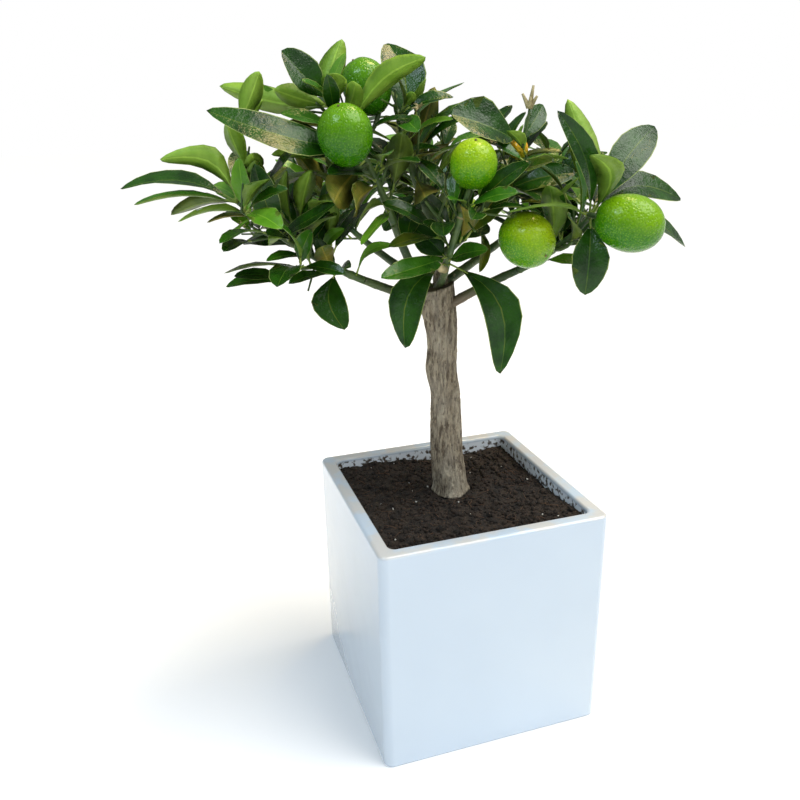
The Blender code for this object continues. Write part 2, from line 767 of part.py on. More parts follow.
def build():
    clear_scene()
    glaze = finish("glazed_white", (0.60, 0.72, 0.86), 0.12)
    peat = finish("dark_soil", (0.030, 0.020, 0.013), 0.95)
    bark = finish("grey_bark", (0.23, 0.18, 0.13), 0.9)
    green_bark = finish("green_bark", (0.08, 0.13, 0.03), 0.6)
    foliage = finish("foliage", (0.035, 0.12, 0.012), 0.35)
    add_object("pot", pot_body(), glaze, turned=False)
    add_object("soil", soil_body(), peat, turned=False)
    join_bodies("trunk", [trunk_body(), leader_body()], bark)
    clearing = join_bodies("trunk_clearing", [trunk_body(GAP), leader_body(GAP)], bark)
    crown, boughs = grow_crown()
    for branch in BRANCHES:
        limb = tube(boughs[branch.name], branch.thick[:2], BOUGH_SIDES)
        bough = add_object("bough_" + branch.name, limb, green_bark)
        apply_boolean(bough, "DIFFERENCE", other=clearing)
        keep_main_body(bough)
        join_bodies("foliage_" + branch.name, crown.masses[branch.name], foliage)
    bpy.data.objects.remove(clearing, do_unlink=True)


build()
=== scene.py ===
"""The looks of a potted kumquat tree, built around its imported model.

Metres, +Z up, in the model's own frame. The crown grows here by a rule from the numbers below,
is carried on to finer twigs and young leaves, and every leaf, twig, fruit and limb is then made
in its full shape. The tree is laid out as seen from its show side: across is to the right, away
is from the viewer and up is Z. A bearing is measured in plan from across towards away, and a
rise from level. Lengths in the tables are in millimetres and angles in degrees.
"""

import math
import random
from dataclasses import dataclass

import bmesh
import bpy
from mathutils import Matrix, Vector, noise
from mathutils.bvhtree import BVHTree


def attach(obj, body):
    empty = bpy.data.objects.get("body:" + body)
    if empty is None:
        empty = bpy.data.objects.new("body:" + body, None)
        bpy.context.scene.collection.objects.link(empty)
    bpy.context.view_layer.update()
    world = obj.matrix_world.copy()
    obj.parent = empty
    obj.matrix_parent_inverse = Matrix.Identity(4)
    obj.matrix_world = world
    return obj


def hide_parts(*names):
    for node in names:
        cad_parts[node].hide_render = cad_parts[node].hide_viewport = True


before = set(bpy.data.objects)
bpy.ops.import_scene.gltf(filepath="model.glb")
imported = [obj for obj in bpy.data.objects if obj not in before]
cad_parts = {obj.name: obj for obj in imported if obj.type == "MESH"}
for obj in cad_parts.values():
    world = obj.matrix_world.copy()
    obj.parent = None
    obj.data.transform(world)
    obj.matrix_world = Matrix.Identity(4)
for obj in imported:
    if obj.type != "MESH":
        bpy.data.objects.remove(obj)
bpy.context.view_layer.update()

MM = 0.001
SEED = 11
GAP = 0.3 * MM
SHOW_SIDE = math.radians(-17.7)
TREE_TURN = Matrix.Rotation(SHOW_SIDE, 3, "Z")  # from the show side into the model's frame
EYE_RISE = 20.5

# Pot
POT_SIDE = 150 * MM
POT_HEIGHT = 153.4 * MM
POT_WALL = 9.2 * MM
POT_FLOOR = 9 * MM
POT_CORNER = 6 * MM
POT_INNER_CORNER = 7 * MM
POT_LIP = 2.6 * MM
POT_FOOT = 1.6 * MM

# Soil
SOIL_LEVEL = 146 * MM
SOIL_SWELL = 1.6 * MM
SOIL_FALL = 3.5 * MM
SOIL_DEEP = 30 * MM
SOIL_CUTS = 150
LEVEL_SOIL = 13 * MM  # from the trunk's middle, and then the width of the slope beyond it
LEVEL_SLOPE = 16 * MM
CRUMBS = 2600
CRUMB_SIZES = (0.5, 0.6, 0.8, 0.8, 1.1, 1.5, 2.1)
CRUMB_SPREAD = (0.7, 1.2)
CLEAR_OF_TRUNK = 14.5 * MM
PERLITE_GRAINS = 20
PERLITE_SIZE = (0.5, 1.1)
FIBRES = 90
FIBRE_LENGTH = (4, 11)
FIBRE_THICK = (0.45, 0.25)
FIBRE_LIFT = (0.4, 1.6)
ANY_TURN = 6.3  # radians, a whole turn and a little

# Trunk, from its flat cut at the soil to the pruned fork, then its leader
TRUNK_AWAY = 6 * MM
TRUNK_SIDES = 14
TRUNK_LOBES = 5
TRUNK_RELIEF = 0.035
TRUNK_LEVELS = (
    # height, middle across, diameter
    (146.3, -1.5, 24.6),
    (149.5, -1.8, 23.0),
    (157, -2.6, 22.6),
    (173, -4.2, 21.8),
    (188, -5.0, 21.2),
    (205, -5.2, 20.0),
    (218, -5.4, 19.4),
    (233, -8.0, 20.0),
    (250, -7.4, 19.2),
    (266, -8.4, 20.8),
    (278, -10.2, 23.0),
    (288, -11.0, 23.6),
)
FORK_SLANT = math.radians(14)
LEADER_FOOT = (-6.5, 7.0, 272)
LEADER_TIP = (-10.5, 10.0, 326)
LEADER_THICK = (10.4, 7.2)
LEADER_SIDES = 9
TRUNK_FOOT = TREE_TURN @ Vector((TRUNK_LEVELS[0][1] * MM, TRUNK_AWAY, 0))
FLARE = 0.05
FLARE_HIGH = 6 * MM
SLANT_HIGH = 9 * MM  # the top stretch of the trunk that leans into the slanting cut
BARK_SIDES = 120
BARK_STEP = 1.1 * MM
LEADER_BARK = 0.7  # how deep its fissures are beside the trunk's
# Humps a metre in the bark, round the trunk and up it
BARK_WARP = (60, 35)
BARK_PLATES = (520, 80)
BARK_BROAD = (120, 45)
BARK_FINE = (900, 260)

# Leaves
LEAF_LENGTH = (34, 56)
LEAF_SLIM = 0.37
LEAF_THICK = 0.9 * MM
PETIOLE_SHARE = 0.13
PETIOLE_THICK = 1.7 * MM
LEAF_STATIONS = ((0.0, 0.12), (0.38, 1.0), (0.76, 0.76))
SHOW_STATIONS = ((0.0, 0.10), (0.26, 0.82), (0.56, 1.0), (0.84, 0.62))
LEAF_FOLD = math.radians(16)
LEAF_ARCH = 0.09
LEAF_SPACING = 7.5 * MM
LEAF_LEAN = (74, 38)  # from its shoot, near the shoot's foot and at its tip
LEAF_LEAN_SPREAD = 9
LEAF_ROLL_SPREAD = 0.4
LEAF_HANG = 0.12
SPACE_RAISE = 10 * MM
DROOP = 6 * MM
CROWN_LOWEST = 232 * MM

# Growth
GOLDEN_TURN = math.radians(137.5)
TWIG_THICK = (2.3, 1.6)
TWIG_LENGTH = (22, 34)
TWIG_STRETCH = (0.22, 0.88)  # the stretch of the stem that bears twigs
TWIG_BARE = 0.3
TWIG_TURNS_UP = 65
TWIG_SIDES = 3
STEM_SIDES = 5
BOUGH_SIDES = 7
CLEARANCE = 0.5 * MM
# A leaf or twig that finds no room is turned by each of these pairs of angles in its turn
NUDGES = tuple((nudge, twist) for twist in (0, 25, -25) for nudge in (0, 7, -7, 14, -14, 22, -22))

# Fruit
FRUIT_SIDES = 8
FRUIT_RINGS = 5
PEDICEL_THICK = (2.0, 2.6)
PEDICEL_BEND = 2 * MM
PEDICEL_SUNK = 0.46  # share of the fruit's length from its middle to the stalk's end

# The fine growth that carries the rule on
FINE_SEED = 400
FINE_LENGTH = (10, 21)
FINE_THICK = (1.5, 1.0)
FINE_SPACE = 0.86  # share of the mass's own space that the fine growth keeps to
FINE_ON_STEM = 9
FINE_ON_TWIG = 5
FINE_FIRST = 0.12  # share of a shoot below its first fine twig
FINE_TURN_SPREAD = 0.5
FINE_LEAVES = 4
FINE_LEAVES_FROM = 0.4  # share of a fine twig below its first leaf
FINE_LEAF_LENGTH = (25, 44)
FINE_LEAF_SLIM = (0.34, 0.44)
FINE_LEAN = (70, 30)  # from its twig, near the twig's foot and at its tip
FINE_LEAN_SPREAD = 12
FINE_ROLL = 0.4
FINE_TRIES = 6
OPEN_SPOTS = (
    # across, away and up in millimetres, then the reach in which no leaf of the rule is made
    ((-38, -32, 399), 5),
    ((-40, -30, 377), 5),
    ((42, -12, 378), 4),
    ((37, -6, 382), 4),
    ((65, -18, 353), 5),
    ((-3, -34, 343), 7),
    ((-137, -17, 321), 15),
    ((-112, -10, 303), 15),
    ((-69, -18, 412), 8),
)

# The full shape of a leaf, along its blade and across it
BLADE_STATIONS = (0, 0.07, 0.18, 0.32, 0.47, 0.62, 0.76, 0.88, 0.96, 1)
BLADE_STATIONS_FEW = (0, 0.12, 0.33, 0.58, 0.8, 0.94, 1)
BLADE_COLUMNS = (1.0, 0.955, 0.5, 0.035, -0.035, -0.5, -0.955, -1.0)
BELOW_COLUMNS = (-0.07, 0.07)  # the edges of the rib on the underside
WIDEST_AT = 0.55
BASE_TAPER = 1.1
TIP_TAPER = 0.6
BLADE_START = 0.03
BLADE_NARROWEST = 0.05
BLADE_THICK = 0.25 * MM
BLADE_CAMBER = 0.09
BLADE_WAVE = (0.03, 0.13)
WAVE_PACE = 9
WAVE_SHIFT = 1.7  # between the waves of the two margins
BLADE_TWIST = 14
TWIST_STILL = 0.4  # where along the blade the twist is nothing
BLADE_CURL = (-0.05, 0.06)
FOLD_SPREAD = (0.6, 1.5)
MIDRIB_DEEP = 0.16 * MM
UPPER, UNDER, RIB, MARGIN, RIB_BELOW = range(5)
BLADE_ROW = (MARGIN, UPPER, UPPER, RIB, UPPER, UPPER, MARGIN, UNDER, RIB_BELOW, UNDER)
FLAT_KINDS = (RIB, MARGIN, RIB_BELOW)  # flat, so that the blade reads as a thin sheet
PETIOLE_SIDES = 6
PETIOLE_STEPS = (0.0, 0.35, 0.7, 1.0, 1.25)  # in lengths of the petiole, the last inside the blade
PETIOLE_TAPER = 0.62
PETIOLE_OF_LONG = 0.85
PETIOLE_OF_SHORT = 0.6
LONG_LEAF = 30 * MM
BUD_LENGTH = 2.6 * MM
BUD_WIDTH = 1.5 * MM

# The small parts on the show side: across, away and up in millimetres
FRONT_STEM = ((-5, -30, 313), (1, -36, 336), (6, -36, 352))
FLOWER_STALK = ((-23, -6, 362), (-21, -8, 379), (-21, -10, 394))
CALYX_STALK = ((37, -16, 371), (39, -18, 383), (40, -18, 392))
STUB = ((-7, -22, 304), (-10, -27, 306), (-11, -30, 309))
PETALS = 9
CALYX_LOBES = ((-0.5, 8), (0.15, 11), (0.6, 7), (0.0, 6))  # lean across, and length

# The full shape of a fruit
FRUIT_SHOWN = 0.9  # its size beside the model's, nearer to the photograph's
FRUIT_FULLER = 0.03
DIMPLE = 0.05
DIMPLE_WIDE = 0.012
CALYX_OF_FRUIT = 5

# Leaf tones, their share of the rule's leaves and the width of those listed one by one
LEAF_TONES = {
    # name: upper side dark and light, underside dark and light
    "dark": ((0.005, 0.030, 0.002), (0.018, 0.078, 0.004), (0.050, 0.095, 0.010), (0.10, 0.15, 0.018)),
    "mid": ((0.016, 0.085, 0.004), (0.045, 0.16, 0.008), (0.09, 0.18, 0.015), (0.16, 0.27, 0.03)),
    "light": ((0.07, 0.21, 0.010), (0.14, 0.33, 0.02), (0.16, 0.31, 0.025), (0.26, 0.43, 0.05)),
    # The gold tone: dark green leaves whose olive-gold patches are a painted reflection of the warm lamp
    "gold": ((0.020, 0.060, 0.004), (0.10, 0.115, 0.008), (0.06, 0.10, 0.010), (0.19, 0.165, 0.020)),
}
TONE_CHANCES = (46, 26, 14, 14)
TONE_WIDTH = {"dark": 1.0, "mid": 0.95, "light": 0.82, "gold": 0.95}
UPPER_ROUGHNESS = 0.16
UNDER_ROUGHNESS = 0.42
UPPER_GLOSS = 0.1

# Other colours, those in pairs from dark to light
LEAF_MARGIN = ((0.15, 0.22, 0.04), (0.32, 0.38, 0.12))
LEAF_STALK = ((0.14, 0.24, 0.03), (0.34, 0.42, 0.09))
TWIG_GREEN = ((0.022, 0.062, 0.010), (0.075, 0.13, 0.025))
BOUGH_GREEN = ((0.020, 0.052, 0.012), (0.070, 0.11, 0.028))
BOUGH_FLECK = (0.22, 0.20, 0.13)
BOUGH_WOOD = (0.16, 0.125, 0.08)
WOOD_TOP = 286 * MM
CALYX = ((0.05, 0.10, 0.02), (0.14, 0.20, 0.04))
FRUIT_SCAR = ((0.10, 0.09, 0.03), (0.22, 0.20, 0.07))
DRY_CREAM = ((0.22, 0.19, 0.08), (0.50, 0.43, 0.24))
GLAZE = ((0.51, 0.605, 0.705), (0.545, 0.64, 0.735))
GLAZE_WORN = (0.62, 0.58, 0.52)
# painted light: the inner wall's glaze, much paler than outside, as if no shade fell inside the pot
GLAZE_INSIDE_PAINTED_BRIGHT = (0.80, 0.87, 0.94)
SOIL_STAIN = (0.06, 0.045, 0.03)
PEAT = ((0.008, 0.0055, 0.0035), (0.036, 0.023, 0.014))
PEAT_GRAIN = (0.11, 0.055, 0.028)
PERLITE = ((0.30, 0.28, 0.24), (0.72, 0.70, 0.64))
ROOT_FIBRE = ((0.04, 0.018, 0.010), (0.13, 0.07, 0.036))
BARK = ((0.10, 0.075, 0.05), (0.39, 0.335, 0.24))
BARK_SCRAPED = (0.54, 0.49, 0.385)
# painted shade: the dark of the bark's fissures
BARK_CRACK_SHADE = (0.035, 0.024, 0.016)
CUT_WOOD = ((0.045, 0.030, 0.020), (0.16, 0.115, 0.07))
FRUIT_SKINS = (
    # unripe side, ripe side, where its ripest patch looks. The ripe side is also lighter and always faces up
    # and to the front: partly a riper tone, partly a painted highlight of the light from above
    ((0.020, 0.125, 0.0), (0.11, 0.28, 0.002), (0.1, -0.4, 0.9)),
    ((0.022, 0.125, 0.001), (0.10, 0.27, 0.003), (0.2, -0.3, 0.9)),
    ((0.075, 0.27, 0.002), (0.33, 0.49, 0.005), (0.0, -0.3, 1.0)),
    ((0.060, 0.23, 0.002), (0.31, 0.45, 0.005), (0.35, -0.4, 0.85)),
    ((0.030, 0.165, 0.001), (0.18, 0.36, 0.003), (0.2, -0.4, 0.9)),
    ((0.42, 0.36, 0.010), (0.74, 0.36, 0.010), (0.3, -0.3, 0.9)),
)
GREEN_SKINS = 5  # the first ones, which the fruits at the back take again

# Floor, light and camera
PALE_FLOOR = (0.985, 0.985, 0.985)
FLOOR_WIDE = 14
FLOOR_GLOW = 0.05
ROOM_LIGHT = 0.31
SUN_STRENGTH = 2.85
SUN_SPREAD = 50
SUN_PLACE = (0.75, -0.35, 1.25)
SUN_COLOUR = (1.0, 0.985, 0.96)
LAMPS = (
    # name, place, size, watts, colour
    ("skylight", (-0.75, -0.35, 1.35), 0.42, 7.0, (0.70, 0.86, 1.0)),
    ("warm_lamp", (0.35, 0.25, 1.25), 0.28, 4.0, (1.0, 0.74, 0.34)),
    ("front_fill", (0.15, -1.8, 0.85), 1.1, 4.0, (0.93, 0.97, 1.0)),
)
LAMPS_LOOK_AT = (0, 0, 0.25)
CAMERA_LENS = 36.7155
CAMERA_SENSOR = 36
CAMERA_PLACE = (-0.18435, -0.4623, 0.4005)
CAMERA_TURN = -17.71
CAMERA_ROLL = -1.24


@dataclass
class Branch:
    """A bough from the trunk or its leader, and the stem of the foliage mass beyond its tip."""

    name: str
    root: float  # height at which the bough leaves the middle of the trunk or leader
    bearing: tuple  # at the root, at the bough's tip and at the stem's tip
    rise: tuple  # at the same three places
    length: tuple  # of the bough and of the stem
    thick: tuple  # at the same three places
    space: tuple  # half sizes of the mass's own space: across, away and up
    twigs: int
    bare: float = 0.3  # share of the stem below its first leaves of the rule, 1 for none


BRANCHES = (
    Branch("left", 277, (202, 199, 190), (19, 25, 45), (52, 86), (6.6, 4.8, 2.4), (74, 62, 52), 4),
    Branch("left_upper", 270, (203, 208, 165), (56, 70, 56), (66, 78), (6.4, 4.8, 2.4), (62, 48, 50), 5),
    Branch("top", 322, (208, 204, 140), (60, 68, 78), (20, 54), (6.8, 5.6, 2.4), (48, 46, 46), 5),
    Branch("front", 286, (292, 286, 300), (34, 60, 60), (24, 44), (5.2, 4.2, 2.8), (56, 50, 44), 3, 1),
    Branch("right", 272, (-20, -24, -26), (34, 26, 52), (58, 53), (6.6, 4.6, 2.4), (62, 60, 50), 4),
    Branch("right_upper", 305, (-5, -12, 15), (40, 46, 72), (22, 63), (6.0, 5.0, 2.4), (56, 50, 48), 5),
    Branch("back_left", 284, (136, 140, 146), (20, 26, 52), (60, 62), (6.4, 4.4, 2.4), (66, 66, 46), 5),
    Branch("back", 279, (86, 88, 94), (30, 22, 48), (56, 60), (6.4, 4.4, 2.4), (62, 62, 44), 5),
    Branch("back_right", 288, (34, 36, 30), (24, 24, 50), (58, 60), (6.2, 4.4, 2.4), (66, 66, 46), 5),
    Branch("back_upper", 312, (104, 100, 96), (44, 46, 58), (20, 50), (5.0, 4.2, 2.2), (56, 52, 40), 5),
)


@dataclass
class ShowShoot:
    """A mass's stem, or a twig on it, with the leaves there that give the show side its outline.

    A twig has where along the stem it starts, its direction as seen from the show side, its
    lean towards the viewer and its length. A leaf has the same along its shoot, then its width,
    how far its upper face is turned from the viewer up towards the sky, and how far its midrib
    bows sideways, in hundredths of its length. Last is its tone, the name of a leaf finish.
    """

    mass: str
    twig: tuple
    leaves: tuple


SHOW_SHOOTS = (
    ShowShoot("left", (), (
        (1.0, 145, 15, 47, 21, 140, 24, "light"),
        (1.0, 171, -5, 68, 20, 50, -8, "dark"),
        (1.0, -180, 20, 56, 17, 65, -5, "mid"),
        (1.0, -170, -25, 49, 14, 110, 0, "dark"),
        (0.87, -130, 15, 24, 14, 60, -8, "light"),
        (1.0, 92, -50, 42, 17, 20, 0, "dark"),
        (0.65, 102, 25, 47, 17, 10, 4, "dark"),
        (0.66, 29, 30, 48, 15, 40, -14, "dark"),
        (0.63, 150, 50, 23, 12, 130, 0, "light"),
        (0.2, -83, 35, 39, 21, 0, -19, "dark"),
        (0.31, 56, 25, 28, 11, 30, 14, "light"),
        (0.35, 94, -30, 28, 15, 20, 0, "dark"),
        (0.06, 43, 30, 37, 9, 30, 16, "light"),
    )),
    ShowShoot("left", (0.81, 101, -5, 52), (
        (0.53, 107, 20, 30, 16, 150, -8, "light"),
        (0.32, 82, 40, 30, 15, 140, 8, "light"),
        (1.0, 64, 0, 32, 16, 150, 4, "light"),
        (1.0, 49, -20, 25, 8, 150, 0, "light"),
    )),
    ShowShoot("left_upper", (), (
        (0.61, 161, 30, 87, 26, 30, 17, "dark"),
        (0.95, 170, -15, 71, 20, 140, -8, "light"),
        (0.95, 163, 30, 36, 17, 140, -5, "light"),
        (0.99, 132, 20, 38, 23, 25, 10, "dark"),
        (0.96, 82, -20, 42, 19, 170, -9, "light"),
        (0.95, 83, 45, 27, 18, 170, 0, "light"),
        (0.83, 66, 50, 33, 15, 170, 0, "light"),
        (0.76, 40, 30, 64, 18, 150, -10, "light"),
        (0.52, -132, 60, 58, 22, 120, 0, "gold"),
        (0.32, -142, 75, 50, 20, 110, 0, "gold"),
        (0.55, 177, 25, 54, 15, 130, 0, "light"),
        (0.16, -159, 45, 38, 15, 90, 6, "dark"),
        (0.11, -137, 60, 42, 13, 40, 10, "light"),
    )),
    ShowShoot("top", (), (
        (0.77, 98, -15, 57, 27, 5, -11, "dark"),
        (0.38, 72, -20, 50, 17, 175, 0, "gold"),
        (0.95, 53, 55, 29, 8, 150, 0, "light"),
        (0.3, -58, 80, 54, 17, 160, 0, "gold"),
        (0.64, 29, 25, 34, 15, 60, 10, "light"),
        (0.06, -116, 35, 32, 16, 30, 0, "dark"),
        (0.12, -134, 15, 32, 16, 20, 0, "dark"),
    )),
    ShowShoot("front", (), (
        (0.06, -121, 30, 59, 22, 0, -20, "dark"),
        (0.06, -64, 25, 74, 24, 0, 22, "dark"),
        (0.17, -173, 45, 57, 18, 30, 8, "mid"),
        (0.07, 30, 50, 38, 13, 20, 0, "mid"),
        (0.27, 129, 35, 31, 13, 60, 0, "dark"),
        (0.31, 47, 10, 20, 11, 40, 0, "mid"),
        (0.11, 136, 0, 29, 20, 10, 0, "dark"),
        (0.44, 15, -10, 27, 18, 20, 0, "dark"),
    )),
    ShowShoot("right", (), (
        (1.0, 98, -30, 72, 21, 165, 6, "light"),
        (0.98, 111, 15, 64, 16, 20, -6, "dark"),
        (1.0, 104, 35, 50, 18, 160, 22, "mid"),
        (1.0, 47, -30, 76, 22, 5, 3, "dark"),
        (1.0, 1, -35, 77, 22, 20, 14, "dark"),
        (1.0, -94, 25, 44, 23, 0, 0, "dark"),
        (1.0, -22, -35, 96, 19, 30, 4, "dark"),
        (0.99, 173, 25, 55, 14, 80, 10, "mid"),
        (0.59, 129, -30, 35, 14, 60, 0, "dark"),
    )),
    ShowShoot("right_upper", (), (
        (0.93, 24, 50, 40, 17, 20, -4, "gold"),
        (0.54, 37, 55, 53, 17, 50, -8, "gold"),
        (0.45, 16, 10, 49, 22, 30, 0, "dark"),
        (0.98, 155, 25, 50, 32, 25, 6, "dark"),
        (0.15, -89, 50, 38, 9, 40, 6, "gold"),
        (0.74, 171, 5, 33, 16, 40, 0, "dark"),
        (0.92, 32, -5, 32, 12, 30, 0, "dark"),
    )),
)


@dataclass
class Fruit:
    """A fruit on a mass's stem: its middle, and the way that its far end points."""

    mass: str
    at: float
    middle: tuple
    points: tuple
    length: float
    width: float


FRUITS = (
    Fruit("left_upper", 0.48, (-61, -43, 381), (-0.15, -0.35, 0.9), 37, 33),
    Fruit("left_upper", 0.65, (-50, -4, 405), (-0.45, -0.1, 0.9), 36, 30),
    Fruit("front", 1.0, (8, -34, 364), (0.05, -0.3, 1.0), 31, 29),
    Fruit("right_upper", 0.25, (38, -36, 323), (0.5, -0.65, -0.4), 38, 34),
    Fruit("right", 1.0, (93, -44, 332), (0.95, -0.15, -0.22), 43, 35),
    Fruit("right_upper", 0.98, (38, 6, 369), (0.1, -0.5, 0.8), 14, 13),
    Fruit("back_left", 0.7, (-82, 98, 330), (-0.3, 0.8, -0.5), 37, 32),
    Fruit("back", 0.5, (14, 104, 318), (0.3, 0.8, -0.5), 35, 30),
    Fruit("back_right", 0.8, (86, 88, 340), (0.5, 0.6, -0.4), 39, 33),
)


def heading(bearing, rise):
    """Unit vector of a plan bearing and a rise, in degrees."""
    turn, lift = math.radians(bearing), math.radians(rise)
    level = math.cos(lift)
    return Vector((math.cos(turn) * level, math.sin(turn) * level, math.sin(lift)))


def place(across, away, up):
    """A point of the tree from its millimetres."""
    return Vector((across, away, up)) * MM


def mix(first, last, share):
    return first + (last - first) * share


def loft(rings):
    """Points and faces of the closed body through these rings, where a tip is a ring of one point."""
    points = [point for ring in rings for point in ring]
    faces = []
    low = 0
    for ring, after in zip(rings, rings[1:]):
        high = low + len(ring)
        count = max(len(ring), len(after))
        for i in range(count):
            j = (i + 1) % count
            if len(ring) == 1:
                faces.append((low, high + j, high + i))
            elif len(after) == 1:
                faces.append((low + i, low + j, high))
            else:
                faces.append((low + i, low + j, high + j, high + i))
        low = high
    if len(rings[0]) > 1:
        faces.append(tuple(reversed(range(len(rings[0])))))
    if len(rings[-1]) > 1:
        faces.append(tuple(range(low, low + len(rings[-1]))))
    return points, faces


def trunk_swell(turn, share):
    """A woody section: a few broad lobes that wander round as they climb."""
    lobes = math.sin(3 * turn + 4.0 * share) + 0.6 * math.sin(TRUNK_LOBES * turn - 5.0 * share)
    return 1 + TRUNK_RELIEF * lobes


def trunk_body():
    """The trunk to its pruned top, which is one flat cut slanting down to the left."""
    rings = []
    for level, (up, across, diameter) in enumerate(TRUNK_LEVELS):
        share = level / (len(TRUNK_LEVELS) - 1)
        middle = place(across, TRUNK_AWAY / MM, up)
        slant = math.tan(FORK_SLANT) if level == len(TRUNK_LEVELS) - 1 else 0
        ring = []
        for side in range(TRUNK_SIDES):
            turn = 2 * math.pi * side / TRUNK_SIDES
            radius = diameter * MM / 2 * trunk_swell(turn, share)
            x, y = radius * math.cos(turn), radius * math.sin(turn)
            ring.append(middle + Vector((x, y, slant * x)))
        rings.append(ring)
    return loft(rings)


def trunk_middle(up):
    """The middle of the trunk, or of its leader above the fork, at a height in millimetres."""
    foot, tip = place(*LEADER_FOOT), place(*LEADER_TIP)
    if up >= TRUNK_LEVELS[-1][0]:
        return foot.lerp(tip, (up - LEADER_FOOT[2]) / (LEADER_TIP[2] - LEADER_FOOT[2]))
    for below, above in zip(TRUNK_LEVELS, TRUNK_LEVELS[1:]):
        if up <= above[0]:
            share = (up - below[0]) / (above[0] - below[0])
            return place(mix(below[1], above[1], share), TRUNK_AWAY / MM, up)


def leader_body():
    """The slimmer stem that goes on up from inside the trunk's fork."""
    foot, tip = place(*LEADER_FOOT), place(*LEADER_TIP)
    return tube([foot, foot.lerp(tip, 0.5), tip], LEADER_THICK, LEADER_SIDES)


def limb_path(start, bearings, rises, length, steps):
    """Points along a limb whose bearing and rise change evenly from its root to its tip."""
    path = [start.copy()]
    for step in range(steps):
        share = (step + 0.5) / steps
        way = heading(mix(*bearings, share), mix(*rises, share))
        path.append(path[-1] + way * (length * MM / steps))
    return path


def tube(path, thick, sides, spare=0.0):
    """A tapering round limb along a path, flat at both ends. thick is in millimetres."""
    way = (path[1] - path[0]).normalized()
    first = way.orthogonal().normalized()
    rings = []
    for i, point in enumerate(path):
        before, after = path[max(i - 1, 0)], path[min(i + 1, len(path) - 1)]
        way = (after - before).normalized()
        first = (first - way * first.dot(way)).normalized()
        second = way.cross(first)
        radius = mix(*thick, i / (len(path) - 1)) * MM / 2 + spare
        turns = [2 * math.pi * side / sides for side in range(sides)]
        rings.append([point + (first * math.cos(t) + second * math.sin(t)) * radius for t in turns])
    return loft(rings)


def leaf_body(base, way, face, length, width, bow=0.0, stations=LEAF_STATIONS, spare=0.0):
    """A leaf on its stalk, folded a little along its midrib and arched over its upper face.

    way is from the stalk's root to the tip, and face is square to the upper face. bow is how
    far the midrib swings sideways, as a share of the length.
    """
    face = (face - way * face.dot(way)).normalized()
    side = face.cross(way)
    swing = face * LEAF_ARCH + side * bow
    thick = LEAF_THICK + 2 * spare

    def spot(share):
        return base + (way * share + swing * math.sin(math.pi * share)) * length

    stalk = PETIOLE_THICK / 2 + spare
    rings = [[base + offset * stalk for offset in (side, face, -side, -face)]]
    for along, wide in stations:
        middle = spot(mix(PETIOLE_SHARE, 1.0, along))
        half = width * wide / 2 + spare
        reach = side * (half * math.cos(LEAF_FOLD))
        lift = face * (half * math.sin(LEAF_FOLD))
        up = face * (thick / 2)
        rings.append([middle + reach + lift, middle + up, middle - reach + lift, middle - up])
    rings.append([spot(1.0) + way * spare])
    return loft(rings)


def fruit_body(middle, points, length, width):
    """An egg-shaped fruit, a little fuller towards the end that it points with."""
    side = points.orthogonal().normalized()
    other = points.cross(side)
    half_length, half_width = length / 2, width / 2
    rings = [[middle - points * half_length]]
    for ring in range(1, FRUIT_RINGS + 1):
        turn = math.pi * ring / (FRUIT_RINGS + 1)
        centre = middle - points * (half_length * math.cos(turn))
        radius = half_width * math.sin(turn)
        turns = [2 * math.pi * step / FRUIT_SIDES for step in range(FRUIT_SIDES)]
        rings.append([centre + (side * math.cos(t) + other * math.sin(t)) * radius for t in turns])
    rings.append([middle + points * half_length])
    return loft(rings)


def along(path, share):
    """The point and the direction at a share of a path's length."""
    place_in = min(max(share, 0.0), 1.0) * (len(path) - 1)
    i = min(int(place_in), len(path) - 2)
    return path[i].lerp(path[i + 1], place_in - i), (path[i + 1] - path[i]).normalized()


def show_way(bearing, towards):
    """A direction as the show side sees it: its angle in that view, and its lean to the viewer."""
    turn, lean = math.radians(bearing), math.radians(towards)
    return Vector((math.cos(turn) * math.cos(lean), -math.sin(lean), math.sin(turn) * math.cos(lean)))


def show_face(way, turned):
    """The way an upper face looks, turned from the viewer up towards the sky by an angle."""
    eye = Vector((0, -math.cos(math.radians(EYE_RISE)), math.sin(math.radians(EYE_RISE))))
    front = (eye - way * eye.dot(way)).normalized()
    side = way.cross(front)
    if side.z < 0:
        side = -side
    return front * math.cos(math.radians(turned)) + side * math.sin(math.radians(turned))


@dataclass
class Leaf:
    """A leaf that grew: where it starts, where it points, and the sizes of its blade."""

    base: Vector
    way: Vector
    face: Vector
    length: float
    width: float
    bow: float
    tone: str


